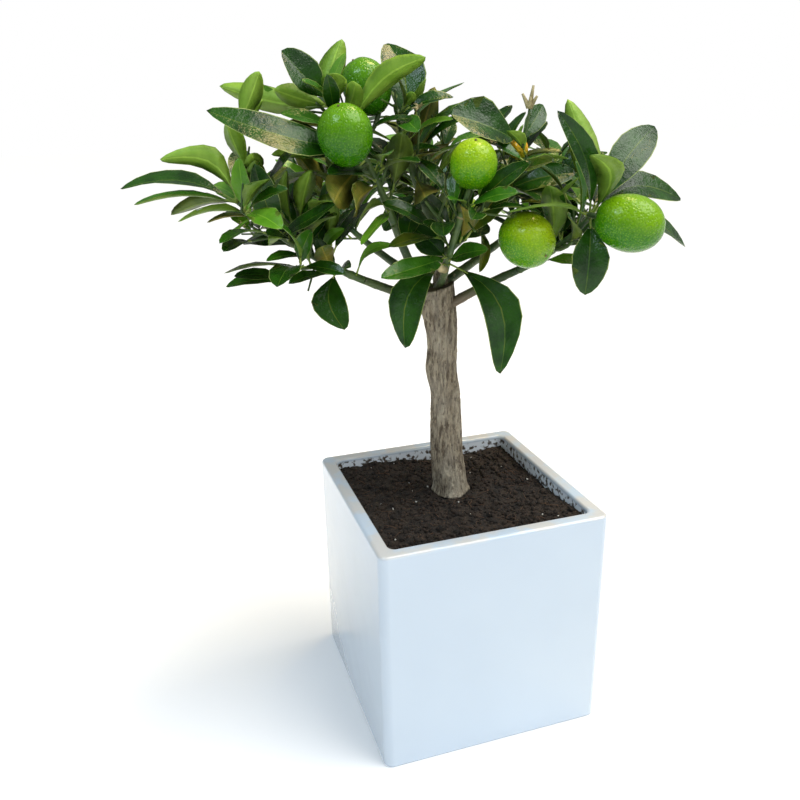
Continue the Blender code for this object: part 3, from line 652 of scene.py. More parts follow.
class Crown:
    """What stands in the crown already, and the shoots, leaves and fruit stalks that grew."""

    def __init__(self):
        self.taken = []
        self.leaves = []
        self.shoots = {branch.name: [] for branch in BRANCHES}
        self.stalks = []
        self.fine = []

    def occupy(self, owner, shoot, body):
        self.taken.append((owner, shoot, BVHTree.FromPolygons(*body)))

    def blocked(self, owner, shoot, whole, blade):
        """Whether a leaf or twig touches another piece, or its blade touches its own mass."""
        whole_tree = BVHTree.FromPolygons(*whole)
        blade_tree = BVHTree.FromPolygons(*blade)
        for other, other_shoot, tree in self.taken:
            if other != owner and whole_tree.overlap(tree):
                return True
            if other == owner and other_shoot != shoot and blade_tree.overlap(tree):
                return True
        return False

    def add_leaf(self, owner, shoot, base, way, face, length, width, bow=0.0, stations=None, tone=""):
        """Adds the leaf unless it touches something, and says whether it did."""
        stations = stations or LEAF_STATIONS
        whole = leaf_body(base, way, face, length, width, bow, stations, CLEARANCE)
        start = base + way * (length * PETIOLE_SHARE)
        blade = leaf_body(start, way, face, length * (1 - PETIOLE_SHARE), width, bow, stations, CLEARANCE)
        if self.blocked(owner, shoot, whole, blade):
            return False
        self.leaves.append(Leaf(base, way, face, length, width, bow, tone))
        self.occupy(owner, "leaf", leaf_body(base, way, face, length, width, bow, stations))
        return True

    def add_fruit(self, fruit, path):
        """A fruit, and its stalk from the stem to its near end."""
        middle, points = place(*fruit.middle), Vector(fruit.points).normalized()
        root, _ = along(path, fruit.at)
        near = middle - points * (fruit.length * MM * PEDICEL_SUNK)
        bend = root.lerp(near, 0.6) - points * PEDICEL_BEND
        stalk = tube([root, bend, near], PEDICEL_THICK, TWIG_SIDES)
        self.stalks.append([root, bend, near])
        self.occupy(fruit.mass, "fruit", fruit_body(middle, points, fruit.length * MM, fruit.width * MM))
        self.occupy(fruit.mass, "stem", stalk)


def grow_limbs(crown):
    """The boughs' paths and the stems' paths that follow them, a gap beyond each tip."""
    crown.occupy("trunk", "trunk", trunk_body())
    crown.occupy("trunk", "trunk", leader_body())
    boughs, stems = {}, {}
    for branch in BRANCHES:
        root = trunk_middle(branch.root)
        bough = limb_path(root, branch.bearing[:2], branch.rise[:2], branch.length[0], 6)
        way = heading(branch.bearing[1], branch.rise[1])
        foot = bough[-1] + way * GAP
        stem = limb_path(foot, branch.bearing[1:], branch.rise[1:], branch.length[1], 8)
        boughs[branch.name], stems[branch.name] = bough, stem
        crown.occupy("bough " + branch.name, "bough", tube(bough, branch.thick[:2], BOUGH_SIDES))
        crown.occupy(branch.name, "stem", tube(stem, branch.thick[1:], STEM_SIDES))
    return boughs, stems


def space_middle(stem):
    """The middle of a mass's own space, a little over its stem."""
    return along(stem, 0.6)[0] + Vector((0, 0, SPACE_RAISE))


def inside(point, middle, space):
    """Whether a point lies in the ellipsoid of a mass's space, above the crown's foot."""
    spread = sum(((point[i] - middle[i]) / (space[i] * MM)) ** 2 for i in range(3))
    return spread < 1 and point.z > CROWN_LOWEST


def rule_leaf(crown, branch, shoot, path, share, turn, middle, rng):
    """One leaf of the rule, where it finds room: it leans out from its shoot and droops."""
    base, way_on = along(path, share)
    across = way_on.orthogonal().normalized()
    length = rng.uniform(*LEAF_LENGTH) * MM * mix(1.0, 0.86, share)
    spread = rng.uniform(-LEAF_LEAN_SPREAD, LEAF_LEAN_SPREAD)
    lean = math.radians(mix(*LEAF_LEAN, share) + spread)
    roll = rng.uniform(-LEAF_ROLL_SPREAD, LEAF_ROLL_SPREAD)
    for nudge, twist in NUDGES:
        out = Matrix.Rotation(turn + math.radians(nudge), 3, way_on) @ across
        way = way_on * math.cos(lean) + out * math.sin(lean)
        way = (way - Vector((0, 0, LEAF_HANG))).normalized()
        tip = base + way * length
        if tip.z < base.z - DROOP or not inside(tip, middle, branch.space):
            continue
        up = Vector((0, 0, 1)) + way_on * 0.35
        square = (up - way * up.dot(way)).normalized()
        face = Matrix.Rotation(roll + math.radians(twist), 3, way) @ square
        if crown.add_leaf(branch.name, shoot, base, way, face, length, length * LEAF_SLIM):
            return


def grow_twigs(crown, branch, stem, middle, rng):
    """Side twigs at even turns round the stem, which rise as they go. One that leaves the
    mass's space or touches something is skipped."""
    twigs = []
    for number in range(branch.twigs):
        share = mix(*TWIG_STRETCH, (number + 0.5) / branch.twigs)
        base, way_on = along(stem, share)
        turn = GOLDEN_TURN * number + rng.uniform(-0.3, 0.3)
        length = rng.uniform(*TWIG_LENGTH) * mix(1.1, 0.7, share)
        for nudge, _ in NUDGES:
            across = way_on.orthogonal().normalized()
            out = Matrix.Rotation(turn + math.radians(nudge), 3, way_on) @ across
            way = way_on * 0.75 + out
            level = math.hypot(way.x, way.y)
            bearing = math.degrees(math.atan2(way.y, way.x))
            rise = math.degrees(math.atan2(way.z, level))
            path = limb_path(base, (bearing, bearing), (rise, (rise + TWIG_TURNS_UP) / 2), length, 4)
            body = tube(path, TWIG_THICK, TWIG_SIDES)
            free = tube(path[1:], TWIG_THICK, TWIG_SIDES, CLEARANCE)
            whole = tube(path, TWIG_THICK, TWIG_SIDES, CLEARANCE)
            shoot = "twig " + str(number)
            roomy = inside(path[-1], middle, branch.space)
            if roomy and not crown.blocked(branch.name, "stem", whole, free):
                crown.occupy(branch.name, shoot, body)
                twigs.append((shoot, path))
                break
    return twigs


def grow_mass(crown, branch, stem, rng):
    """The rule: twigs branch from the stem, and leaves spiral up all of them to their tips."""
    middle = space_middle(stem)
    shoots = [("stem", stem)] + grow_twigs(crown, branch, stem, middle, rng)
    crown.shoots[branch.name] += shoots
    for shoot, path in shoots:
        bare = branch.bare if shoot == "stem" else TWIG_BARE
        length = sum((after - point).length for point, after in zip(path, path[1:]))
        count = max(3, round(length / LEAF_SPACING))
        start = rng.uniform(0, 2 * math.pi)
        if bare == 1:
            continue
        for number in range(count):
            share = mix(bare, 1.0, (number + 0.5) / count)
            rule_leaf(crown, branch, shoot, path, share, start + GOLDEN_TURN * number, middle, rng)


def grow_show_shoot(crown, show, stem, shoot):
    """A twig of the show side, if it has one, and its leaves, each turned until it finds room."""
    path = stem
    if show.twig:
        at, bearing, towards, length = show.twig
        base, _ = along(stem, at)
        way = show_way(bearing, towards)
        path = [base + way * (length * MM * step / 2) for step in range(3)]
        crown.shoots[show.mass].append((shoot, path))
        crown.occupy(show.mass, shoot, tube(path, TWIG_THICK, TWIG_SIDES))
    else:
        shoot = "stem"
    for at, bearing, towards, length, width, turned, bow, tone in show.leaves:
        base, _ = along(path, at)
        for nudge, twist in NUDGES:
            way = show_way(bearing, towards + nudge)
            face = show_face(way, turned + twist)
            size = (length * MM, width * MM, bow / 100, SHOW_STATIONS, tone)
            if crown.add_leaf(show.mass, shoot, base, way, face, *size):
                break


def grow_crown():
    """All limbs, then what the show side shows, then the rule in what room is left."""
    crown = Crown()
    boughs, stems = grow_limbs(crown)
    for fruit in FRUITS:
        crown.add_fruit(fruit, stems[fruit.mass])
    for number, show in enumerate(SHOW_SHOOTS):
        grow_show_shoot(crown, show, stems[show.mass], "show " + str(number))
    for number, branch in enumerate(BRANCHES):
        grow_mass(crown, branch, stems[branch.name], random.Random(SEED + number))
    return crown, boughs, stems


def grow_fine(crown, branch, stem, rng):
    """Fine twigs from every shoot of a mass, each with a few young leaves towards its tip."""
    space = space_middle(stem), [half * FINE_SPACE for half in branch.space]
    for shoot, path in list(crown.shoots[branch.name]):
        count = FINE_ON_STEM if shoot == "stem" else FINE_ON_TWIG
        for number in range(count):
            share = mix(FINE_FIRST, 1.0, (number + rng.random()) / count)
            base, way_on = along(path, share)
            across = way_on.orthogonal().normalized()
            turn = GOLDEN_TURN * number + rng.uniform(-FINE_TURN_SPREAD, FINE_TURN_SPREAD)
            out = Matrix.Rotation(turn, 3, way_on) @ across
            way = (way_on * 0.7 + out + Vector((0, 0, 0.35))).normalized()
            twig = [base + way * (rng.uniform(*FINE_LENGTH) * MM * step / 2) for step in range(3)]
            free = tube(twig[1:], FINE_THICK, TWIG_SIDES, CLEARANCE)
            whole = tube(twig, FINE_THICK, TWIG_SIDES, CLEARANCE)
            if not inside(twig[-1], *space) or crown.blocked(branch.name, shoot, whole, free):
                continue
            name = "fine " + shoot + " " + str(number)
            crown.fine.append(twig)
            crown.occupy(branch.name, name, tube(twig, FINE_THICK, TWIG_SIDES))
            for leaf in range(FINE_LEAVES):
                fine_leaf(crown, branch, name, twig, leaf, space, rng)


def fine_leaf(crown, branch, name, twig, number, space, rng):
    """One young leaf of the fine growth, where it finds room."""
    share = mix(FINE_LEAVES_FROM, 1.0, number / (FINE_LEAVES - 1))
    base, way_on = along(twig, share)
    across = way_on.orthogonal().normalized()
    length = rng.uniform(*FINE_LEAF_LENGTH) * MM
    lean = math.radians(mix(*FINE_LEAN, share) + rng.uniform(-FINE_LEAN_SPREAD, FINE_LEAN_SPREAD))
    start = GOLDEN_TURN * number + rng.uniform(0, 2 * math.pi)
    for turn in range(FINE_TRIES):
        out = Matrix.Rotation(start + math.radians(360 / FINE_TRIES * turn), 3, way_on) @ across
        way = (way_on * math.cos(lean) + out * math.sin(lean) + Vector((0, 0, 0.1))).normalized()
        tip = base + way * length
        if tip.z < base.z - DROOP or not inside(tip, *space):
            continue
        face = Vector((0, 0, 1)) + way_on * 0.4 + Vector((rng.uniform(-FINE_ROLL, FINE_ROLL), -0.35, 0))
        width = length * rng.uniform(*FINE_LEAF_SLIM)
        if crown.add_leaf(branch.name, name, base, way, face, length, width):
            return


class Batch:
    """Many small bodies gathered into one mesh, each face with its material's number."""

    def __init__(self):
        self.points = []
        self.faces = []
        self.slots = []

    def take(self, body, slots=0):
        points, faces = body
        first = len(self.points)
        self.points += points
        self.faces += [tuple(first + i for i in face) for face in faces]
        self.slots += slots if isinstance(slots, list) else [slots] * len(faces)

    def piece(self, name, finishes, record_slot, nodes=(), flat=()):
        """Makes the mesh an object of the tree, turned with its show side."""
        mesh = bpy.data.meshes.new(name)
        mesh.from_pydata(self.points, [], self.faces)
        mesh.transform(TREE_TURN.to_4x4())
        for finish in finishes:
            mesh.materials.append(finish)
        mesh.polygons.foreach_set("material_index", self.slots)
        mesh.polygons.foreach_set("use_smooth", [slot not in flat for slot in self.slots])
        mesh.update()
        made = bpy.data.objects.new(name, mesh)
        bpy.context.scene.collection.objects.link(made)
        settle(made, nodes)


def settle(piece, nodes=()):
    """Puts a piece on the body and hides the model's parts that it stands for."""
    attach(piece, "root")
    if nodes:
        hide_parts(*nodes)


def fresh(name, add, **settings):
    """A new primitive under its own name, with nothing else selected."""
    bpy.ops.object.select_all(action="DESELECT")
    add(**settings)
    made = bpy.context.object
    made.name = name
    return made


class Wire:
    """A socket of numbers in a material, on which Python's own operators work."""

    def __init__(self, paint, socket):
        self.paint = paint
        self.socket = socket

    def sum_up(self, operation, *values):
        return self.paint.add("ShaderNodeMath", {"operation": operation}, dict(enumerate(values)))

    def __add__(self, other):
        return self.sum_up("ADD", self, other)

    def __radd__(self, other):
        return self.sum_up("ADD", other, self)

    def __sub__(self, other):
        return self.sum_up("SUBTRACT", self, other)

    def __rsub__(self, other):
        return self.sum_up("SUBTRACT", other, self)

    def __mul__(self, other):
        return self.sum_up("MULTIPLY", self, other)

    def __rmul__(self, other):
        return self.sum_up("MULTIPLY", other, self)

    def above(self, edge, soft):
        """0 below an edge and 1 above it, with a soft step between."""
        sockets = {"Value": self, "From Min": edge - soft, "From Max": edge + soft}
        return self.paint.add("ShaderNodeMapRange", {"interpolation_type": "SMOOTHSTEP"}, sockets)


class Paint:
    """A material with its Principled shader, and the nodes that feed it."""

    def __init__(self, name, roughness, constants=None):
        self.material = bpy.data.materials.new(name)
        self.material.use_nodes = True
        self.tree = self.material.node_tree
        self.shader = self.tree.nodes["Principled BSDF"]
        self.set(self.shader.inputs["Roughness"], roughness)
        for socket, value in (constants or {}).items():
            self.set(self.shader.inputs[socket], value)

    def add(self, kind, settings=None, sockets=None, output=0):
        """Any node: its settings first, then its sockets' values or links."""
        node = self.tree.nodes.new(kind)
        for key, value in (settings or {}).items():
            setattr(node, key, value)
        for key, value in (sockets or {}).items():
            self.set(node.inputs[key], value)
        return Wire(self, node.outputs[output])

    def set(self, socket, value):
        """Gives a socket a value, or a link where the value is a wire."""
        if isinstance(value, Wire):
            self.tree.links.new(value.socket, socket)
        elif isinstance(value, tuple) and len(value) == 3 and socket.type == "RGBA":
            socket.default_value = (*value, 1)
        else:
            socket.default_value = value

    def spot(self):
        return self.add("ShaderNodeTexCoord", output="Object")

    def spread(self, scale, detail=3, stretch=(1, 1, 1), roughness=0.5):
        """Cloudy noise of about this many humps a metre."""
        there = self.add("ShaderNodeMapping", None, {"Vector": self.spot(), "Scale": stretch})
        sockets = {"Vector": there, "Scale": scale, "Detail": detail, "Roughness": roughness}
        return self.add("ShaderNodeTexNoise", None, sockets)

    def cells(self, scale):
        """Distance from the middles of about this many cells a metre."""
        return self.add("ShaderNodeTexVoronoi", None, {"Vector": self.spot(), "Scale": scale})

    def along_axis(self, axis):
        return self.add("ShaderNodeSeparateXYZ", None, {0: self.spot()}, output=axis)

    def blend(self, share, first, last):
        """One colour into another."""
        sockets = {0: share, 6: first, 7: last}
        return self.add("ShaderNodeMix", {"data_type": "RGBA"}, sockets, output=2)

    def colour(self, value):
        self.set(self.shader.inputs["Base Color"], value)

    def relief(self, bumps, deep, strength):
        sockets = {"Height": bumps, "Distance": deep, "Strength": strength}
        self.set(self.shader.inputs["Normal"], self.add("ShaderNodeBump", None, sockets))


def leaf_finish(name, dark, light, roughness, gloss=0.0):
    """A leaf's skin: cloudy between two greens, with fine pores, and uneven in its gloss."""
    paint = Paint(name, roughness, {"Specular IOR Level": 0.27, "Coat Weight": gloss, "Coat Roughness": 0.1})
    cloud = paint.spread(70, detail=4).above(0.5, soft=0.22)
    paint.colour(paint.blend(cloud, dark, light))
    paint.set(paint.shader.inputs["Roughness"], roughness + 0.1 * paint.spread(160, detail=2))
    pores = paint.spread(900) + 2.0 * paint.spread(230, detail=2)
    paint.relief(pores, deep=0.6 * MM, strength=0.5)
    return paint.material


def blade_width(share):
    """Half width of a blade along its length, as a share of its greatest: blunt at its tip."""
    rise = min(1.0, share / WIDEST_AT)
    fall = min(1.0, (1 - share) / (1 - WIDEST_AT))
    return math.sin(math.pi / 2 * min(rise, fall)) ** (BASE_TAPER if rise < 1 else TIP_TAPER)


def leaf_sides(leaf):
    """The way that a leaf's upper face looks, square to its midrib, and the way to its side."""
    face = (leaf.face - leaf.way * leaf.face.dot(leaf.way)).normalized()
    return face, face.cross(leaf.way)


def midrib(leaf, share):
    """The point at a share of the way from a leaf's root to its tip."""
    face, side = leaf_sides(leaf)
    swing = (face * LEAF_ARCH + side * leaf.bow) * math.sin(math.pi * share)
    return leaf.base + (leaf.way * share + swing) * leaf.length


def blade_body(leaf, rng):
    """A leaf's blade as a thin closed body, and the kind of each of its faces."""
    face, side = leaf_sides(leaf)
    half_width = leaf.width / 2 * TONE_WIDTH.get(leaf.tone, 1)
    wave, phase = rng.uniform(*BLADE_WAVE), rng.uniform(0, 2 * math.pi)
    twist, curl = math.radians(rng.uniform(-BLADE_TWIST, BLADE_TWIST)), rng.uniform(*BLADE_CURL)
    fold = LEAF_FOLD * rng.uniform(*FOLD_SPREAD)
    stations = BLADE_STATIONS if leaf.tone else BLADE_STATIONS_FEW
    rings = []
    for share in stations[:-1]:
        middle = midrib(leaf, mix(PETIOLE_SHARE, 1.0, share)) - face * (curl * leaf.length * share * share)
        turned = Matrix.Rotation(twist * (share - TWIST_STILL), 3, leaf.way)
        out, up = turned @ side, turned @ face
        half = half_width * max(BLADE_NARROWEST, blade_width(mix(BLADE_START, 1.0, share)))
        ring = []
        for column in BLADE_COLUMNS:
            lift = abs(column) * math.sin(fold) - BLADE_CAMBER * column * column
            shift = WAVE_SHIFT if column > 0 else 0
            lift += wave * math.sin(phase + WAVE_PACE * share + shift) * abs(column) ** 3
            sunk = MIDRIB_DEEP if abs(column) < 0.1 else 0
            ring.append(middle + out * (half * column * math.cos(fold)) + up * (half * lift - sunk))
        for column in BELOW_COLUMNS:
            ring.append(middle + out * (half * column) - up * (BLADE_THICK + 2 * MIDRIB_DEEP))
        rings.append(ring)
    rings.append([midrib(leaf, 1.0) - face * (curl * leaf.length)])
    kinds = list(BLADE_ROW) * (len(stations) - 1) + [UNDER]
    return loft(rings), kinds


def petiole_path(leaf):
    return [midrib(leaf, PETIOLE_SHARE * share) for share in PETIOLE_STEPS]


def knobbly(path, thick, sides, rng, knots=0.1, every=11 * MM):
    """A limb with a slight swelling at each of its nodes. thick is in millimetres."""
    smooth = []
    steps = 5
    for i in range(len(path) - 1):
        before, after = path[max(i - 1, 0)], path[min(i + 2, len(path) - 1)]
        for step in range(steps):
            t = step / steps
            smooth.append(curve_point(before, path[i], path[i + 1], after, t))
    smooth.append(path[-1])
    length = sum((b - a).length for a, b in zip(smooth, smooth[1:]))
    points, faces = tube(smooth, thick, sides)
    phase = rng.random()
    for ring, centre in enumerate(smooth):
        place_in = ring / (len(smooth) - 1) * length / every + phase
        swell = knots * max(0.0, 1 - abs((place_in % 1) - 0.5) * 7)
        for i in range(ring * sides, (ring + 1) * sides):
            rough = 0.05 * noise.noise(points[i] * 420)
            points[i] = centre + (points[i] - centre) * (1 + swell + rough)
    return points, faces


def curve_point(before, first, last, after, t):
    """A point on the smooth curve through four others, between the middle two."""
    slope_in, slope_out = (last - before) / 2, (after - first) / 2
    cube, square = t**3, t**2
    return (
        first * (2 * cube - 3 * square + 1)
        + slope_in * (cube - 2 * square + t)
        + last * (3 * square - 2 * cube)
        + slope_out * (cube - square)
    )


def bead(middle, way, length, width):
    """A small pointed bud."""
    before, after = middle - way * length / 3, middle + way * length / 3
    thick = width / MM
    return tube([before, middle, after, middle + way * length * 0.7], (thick, thick * 0.4), 6)


def bud_at(leaf):
    """The bud in the corner between a leaf's petiole and its shoot."""
    face = leaf.face.normalized()
    middle = leaf.base + leaf.way * 1.6 * MM + face * 0.8 * MM
    return bead(middle, (leaf.way + face).normalized(), BUD_LENGTH, BUD_WIDTH)


def left_open(leaf):
    """True for a leaf of the rule that would stand where the photograph is open."""
    middle = leaf.base + leaf.way * (leaf.length / 2)
    near = any((middle - Vector(spot) * MM).length < reach * MM for spot, reach in OPEN_SPOTS)
    return near and not leaf.tone


def leaf_finishes(tone, margin):
    """The finishes of a tone's leaves, in the order of the kinds of faces."""
    upper_dark, upper_light, under_dark, under_light = LEAF_TONES[tone]
    pale_rib = tuple(channel * 1.5 + 0.01 for channel in under_light)
    return [
        leaf_finish("leaf_" + tone, upper_dark, upper_light, UPPER_ROUGHNESS, UPPER_GLOSS),
        leaf_finish("leaf_under_" + tone, under_dark, under_light, UNDER_ROUGHNESS),
        leaf_finish("leaf_rib_" + tone, upper_light, under_light, UPPER_ROUGHNESS),
        margin,
        leaf_finish("leaf_rib_below_" + tone, under_light, pale_rib, UNDER_ROUGHNESS),
    ]


def make_foliage(crown, boughs, stems):
    """Leaves by their tone, then stalks, twigs, buds and boughs, each kind joined apart."""
    rng = random.Random(FINE_SEED + 1)
    blades = {tone: Batch() for tone in LEAF_TONES}
    stalks, twigs, buds, limbs = Batch(), Batch(), Batch(), Batch()
    for leaf in crown.leaves:
        if left_open(leaf):
            continue
        tone = leaf.tone or rng.choices(list(LEAF_TONES), TONE_CHANCES)[0]
        blades[tone].take(*blade_body(leaf, rng))
        thick = PETIOLE_THICK / MM * (PETIOLE_OF_LONG if leaf.length > LONG_LEAF else PETIOLE_OF_SHORT)
        stalks.take(tube(petiole_path(leaf), (thick, thick * PETIOLE_TAPER), PETIOLE_SIDES))
        buds.take(bud_at(leaf))
    for branch in BRANCHES:
        twigs.take(knobbly(stems[branch.name], branch.thick[1:], 10, rng, 0.16))
        for shoot, path in crown.shoots[branch.name]:
            if shoot != "stem":
                twigs.take(knobbly(path, TWIG_THICK, 8, rng, 0.2, 8 * MM))
    for path in crown.fine:
        twigs.take(knobbly(path, FINE_THICK, 6, rng, 0.2, 6 * MM))
    for branch in BRANCHES:
        limbs.take(knobbly(boughs[branch.name], branch.thick[:2], 16, rng, 0.1, 15 * MM))
    nodes = ["foliage_" + branch.name for branch in BRANCHES]
    margin = leaf_finish("leaf_margin", *LEAF_MARGIN, 0.4)
    for tone, batch in blades.items():
        stands_for = nodes if tone == "dark" else ()
        batch.piece("leaves_" + tone, leaf_finishes(tone, margin), "foliage", stands_for, FLAT_KINDS)
    pale = leaf_finish("leaf_stalk", *LEAF_STALK, 0.35)
    stalks.piece("leaf_stalks", [pale], "foliage")
    twigs.piece("twigs", [twig_finish()], "foliage")
    buds.piece("buds", [pale], "foliage")
    limbs.piece("boughs", [bough_finish()], "green_bark", ["bough_" + branch.name for branch in BRANCHES])


def twig_finish():
    """Smooth green shoot, cloudy between two greens."""
    paint = Paint("green_twig", 0.45)
    cloud = paint.spread(120).above(0.5, soft=0.2)
    paint.colour(paint.blend(cloud, *TWIG_GREEN))
    paint.relief(paint.spread(700), deep=0.6 * MM, strength=0.5)
    return paint.material


def bough_finish():
    """Green bark that greys in flecks and is brown wood low down, near the trunk."""
    paint = Paint("green_bark", 0.5)
    cloud = paint.spread(60, detail=4).above(0.52, soft=0.14)
    skin = paint.blend(cloud, *BOUGH_GREEN)
    flecks = paint.spread(420).above(0.63, soft=0.05)
    skin = paint.blend(flecks * 0.6, skin, BOUGH_FLECK)
    green = paint.along_axis("Z").above(WOOD_TOP, soft=8 * MM)
    paint.colour(paint.blend(1 - green, skin, BOUGH_WOOD))
    paint.relief(paint.spread(520, detail=4), deep=1 * MM, strength=0.5)
    return paint.material


def select_only(*chosen):
    bpy.ops.object.select_all(action="DESELECT")
    for found in chosen:
        found.select_set(True)
    bpy.context.view_layer.objects.active = chosen[0]


def pick(piece, kind, test):
    """Selects in edit mode the edges or faces that pass a test."""
    shape = bmesh.from_edit_mesh(piece.data)
    bpy.ops.mesh.select_all(action="DESELECT")
    for item in getattr(shape, kind):
        item.select = test(item)
    bmesh.update_edit_mesh(piece.data)


def edit(piece, select_by="VERT"):
    """Goes into edit mode on one piece."""
    select_only(piece)
    bpy.ops.object.mode_set(mode="EDIT")
    bpy.ops.mesh.select_mode(type=select_by)


def glaze_finish():
    """Pale blue-white glaze: worn on the rim's edge, wavy, and stained with soil on the inner wall, which is
    painted much paler than the outside as painted light inside the pot.
    """
    paint = Paint("glaze", 0.09, {"Coat Weight": 0.4, "Coat Roughness": 0.04, "IOR": 1.55})
    height = paint.along_axis("Z")
    cloud = paint.spread(9).above(0.5, soft=0.25)
    glaze = paint.blend(cloud, *GLAZE)
    edge = height.above(POT_HEIGHT - 1.3 * MM, soft=1.0 * MM)
    worn = edge * paint.spread(60).above(0.47, soft=0.12)
    glaze = paint.blend(worn * 0.75, glaze, GLAZE_WORN)
    inner = POT_SIDE / 2 - POT_WALL + 0.4 * MM
    off_middle = [paint.along_axis(axis).sum_up("ABSOLUTE", paint.along_axis(axis)) for axis in "XY"]
    across, away = (1 - off.above(inner, soft=0.2 * MM) for off in off_middle)
    inside_wall = across * away * (1 - height.above(POT_HEIGHT - 2.6 * MM, soft=0.9 * MM))
    stains = paint.spread(300, detail=5).above(0.55, soft=0.06)
    # painted light: the inner wall paler than the outer glaze, as if no shade fell inside the pot
    wall = paint.blend(stains, GLAZE_INSIDE_PAINTED_BRIGHT, SOIL_STAIN)
    paint.colour(paint.blend(inside_wall, glaze, wall))
    paint.set(paint.shader.inputs["Roughness"], 0.07 + 0.6 * inside_wall + 0.05 * cloud)
    ripples = paint.spread(22, detail=2) + 0.08 * paint.spread(140, detail=2)
    paint.relief(ripples, deep=4 * MM, strength=0.10)
    return paint.material


def make_pot():
    """A cube, hollowed by an inset and an extrusion, its corners and rims rounded by bevels."""
    start = {"size": 1, "location": (0, 0, POT_HEIGHT / 2), "scale": (POT_SIDE, POT_SIDE, POT_HEIGHT)}
    pot = fresh("glazed_pot", bpy.ops.mesh.primitive_cube_add, **start)
    bpy.ops.object.transform_apply(location=True, rotation=True, scale=True)
    tiny = 0.01 * MM

    def at_top(item):
        return all(vert.co.z > POT_HEIGHT - tiny for vert in item.verts)

    def at_foot(item):
        return all(vert.co.z < tiny for vert in item.verts)

    def upright(edge):
        first, last = (vert.co for vert in edge.verts)
        return (first - last).xy.length < tiny and abs(first.z - last.z) > POT_HEIGHT / 2

    def on_lip(edge):
        return at_top(edge) and any(abs(face.normal.z) < 0.5 for face in edge.link_faces)

    edit(pot, "FACE")
    pick(pot, "faces", at_top)
    bpy.ops.mesh.inset(thickness=POT_WALL)
    bpy.ops.mesh.extrude_region_move(TRANSFORM_OT_translate={"value": (0, 0, POT_FLOOR - POT_HEIGHT)})
    bpy.ops.mesh.select_mode(type="EDGE")
    for test, offset, segments in ((upright, POT_CORNER, 10), (on_lip, POT_LIP, 7), (at_foot, POT_FOOT, 4)):
        pick(pot, "edges", test)
        rounding = {"offset": offset, "offset_type": "OFFSET", "segments": segments}
        bpy.ops.mesh.bevel(**rounding, profile=0.5, affect="EDGES")
    bpy.ops.mesh.select_all(action="SELECT")
    bpy.ops.mesh.normals_make_consistent(inside=False)
    bpy.ops.object.mode_set(mode="OBJECT")
    bpy.ops.object.shade_smooth_by_angle(angle=math.radians(40))
    pot.data.materials.append(glaze_finish())
    settle(pot, ["pot"])


def soil_height(across, away):
    """The soil's surface: low humps, and a fall towards the right and the back."""
    half = POT_SIDE / 2
    hump = math.sin(across / half * 4.1 + 0.6) * math.cos(away / half * 3.3 - 0.4)
    fall = max(0.0, (across + away) / (2 * half))
    return SOIL_LEVEL + SOIL_SWELL * hump - SOIL_FALL * fall


def ground_at(across, away):
    """The soil's height with its clods, level round the stem."""
    gap = math.hypot(across - TRUNK_FOOT.x, away - TRUNK_FOOT.y)
    level = max(0.0, min(1.0, (gap - LEVEL_SOIL) / LEVEL_SLOPE))
    up = mix(SOIL_LEVEL, soil_height(across, away), level)
    spot = Vector((across, away, 0))
    clods = noise.fractal(spot * 95, 0.8, 2.1, 5)
    grit = noise.fractal(spot * 420 + Vector((9, 3, 1)), 0.9, 2.0, 3)
    return up + (1.5 * clods + 0.55 * grit) * MM


def soil_finish():
    """Dark peat: near black when damp, browner on its clods, with reddish grains."""
    paint = Paint("peat", 0.93)
    cloud = paint.spread(150, detail=5).above(0.5, soft=0.2)
    grains = paint.spread(900).above(0.64, soft=0.04)
    paint.colour(paint.blend(grains * 0.7, paint.blend(cloud, *PEAT), PEAT_GRAIN))
    crumbly = paint.spread(1300, detail=5) + 0.6 * paint.spread(420, detail=4)
    paint.relief(crumbly, deep=1.6 * MM, strength=0.9)
    return paint.material


def make_soil():
    """A finely cut grid, taken down inside the pot and heaped by noise, with crumbs on it."""
    rng = random.Random(FINE_SEED + 2)
    half = POT_SIDE / 2 - POT_WALL - GAP
    grid = {"x_subdivisions": SOIL_CUTS, "y_subdivisions": SOIL_CUTS, "size": 2 * half}
    soil = fresh("peat_soil", bpy.ops.mesh.primitive_grid_add, **grid, location=(0, 0, SOIL_LEVEL))
    bpy.ops.object.transform_apply(location=True, rotation=True, scale=True)
    edit(soil)
    bpy.ops.mesh.select_all(action="SELECT")
    bpy.ops.mesh.extrude_region_move(TRANSFORM_OT_translate={"value": (0, 0, -SOIL_DEEP)})
    bpy.ops.mesh.select_all(action="SELECT")
    bpy.ops.mesh.normals_make_consistent(inside=False)
    bpy.ops.object.mode_set(mode="OBJECT")
    for vert in soil.data.vertices:
        if vert.co.z > SOIL_LEVEL - 1 * MM:
            vert.co.z = ground_at(vert.co.x, vert.co.y)
        corner = Vector((abs(vert.co.x), abs(vert.co.y))) - Vector((half, half))
        corner += Vector((1, 1)) * POT_INNER_CORNER
        if corner.x > 0 and corner.y > 0 and corner.length > POT_INNER_CORNER:
            # The corner is rounded off along Y, and let a little way into the pot's wall along X
            inward = corner * (POT_INNER_CORNER / corner.length) - corner
            vert.co.x += math.copysign(inward.x, vert.co.x)
            vert.co.y += math.copysign(1, vert.co.y) * inward.y
    bpy.ops.object.shade_smooth()
    soil.data.materials.append(soil_finish())
    settle(soil, ["soil"])
    make_crumbs(rng, half)


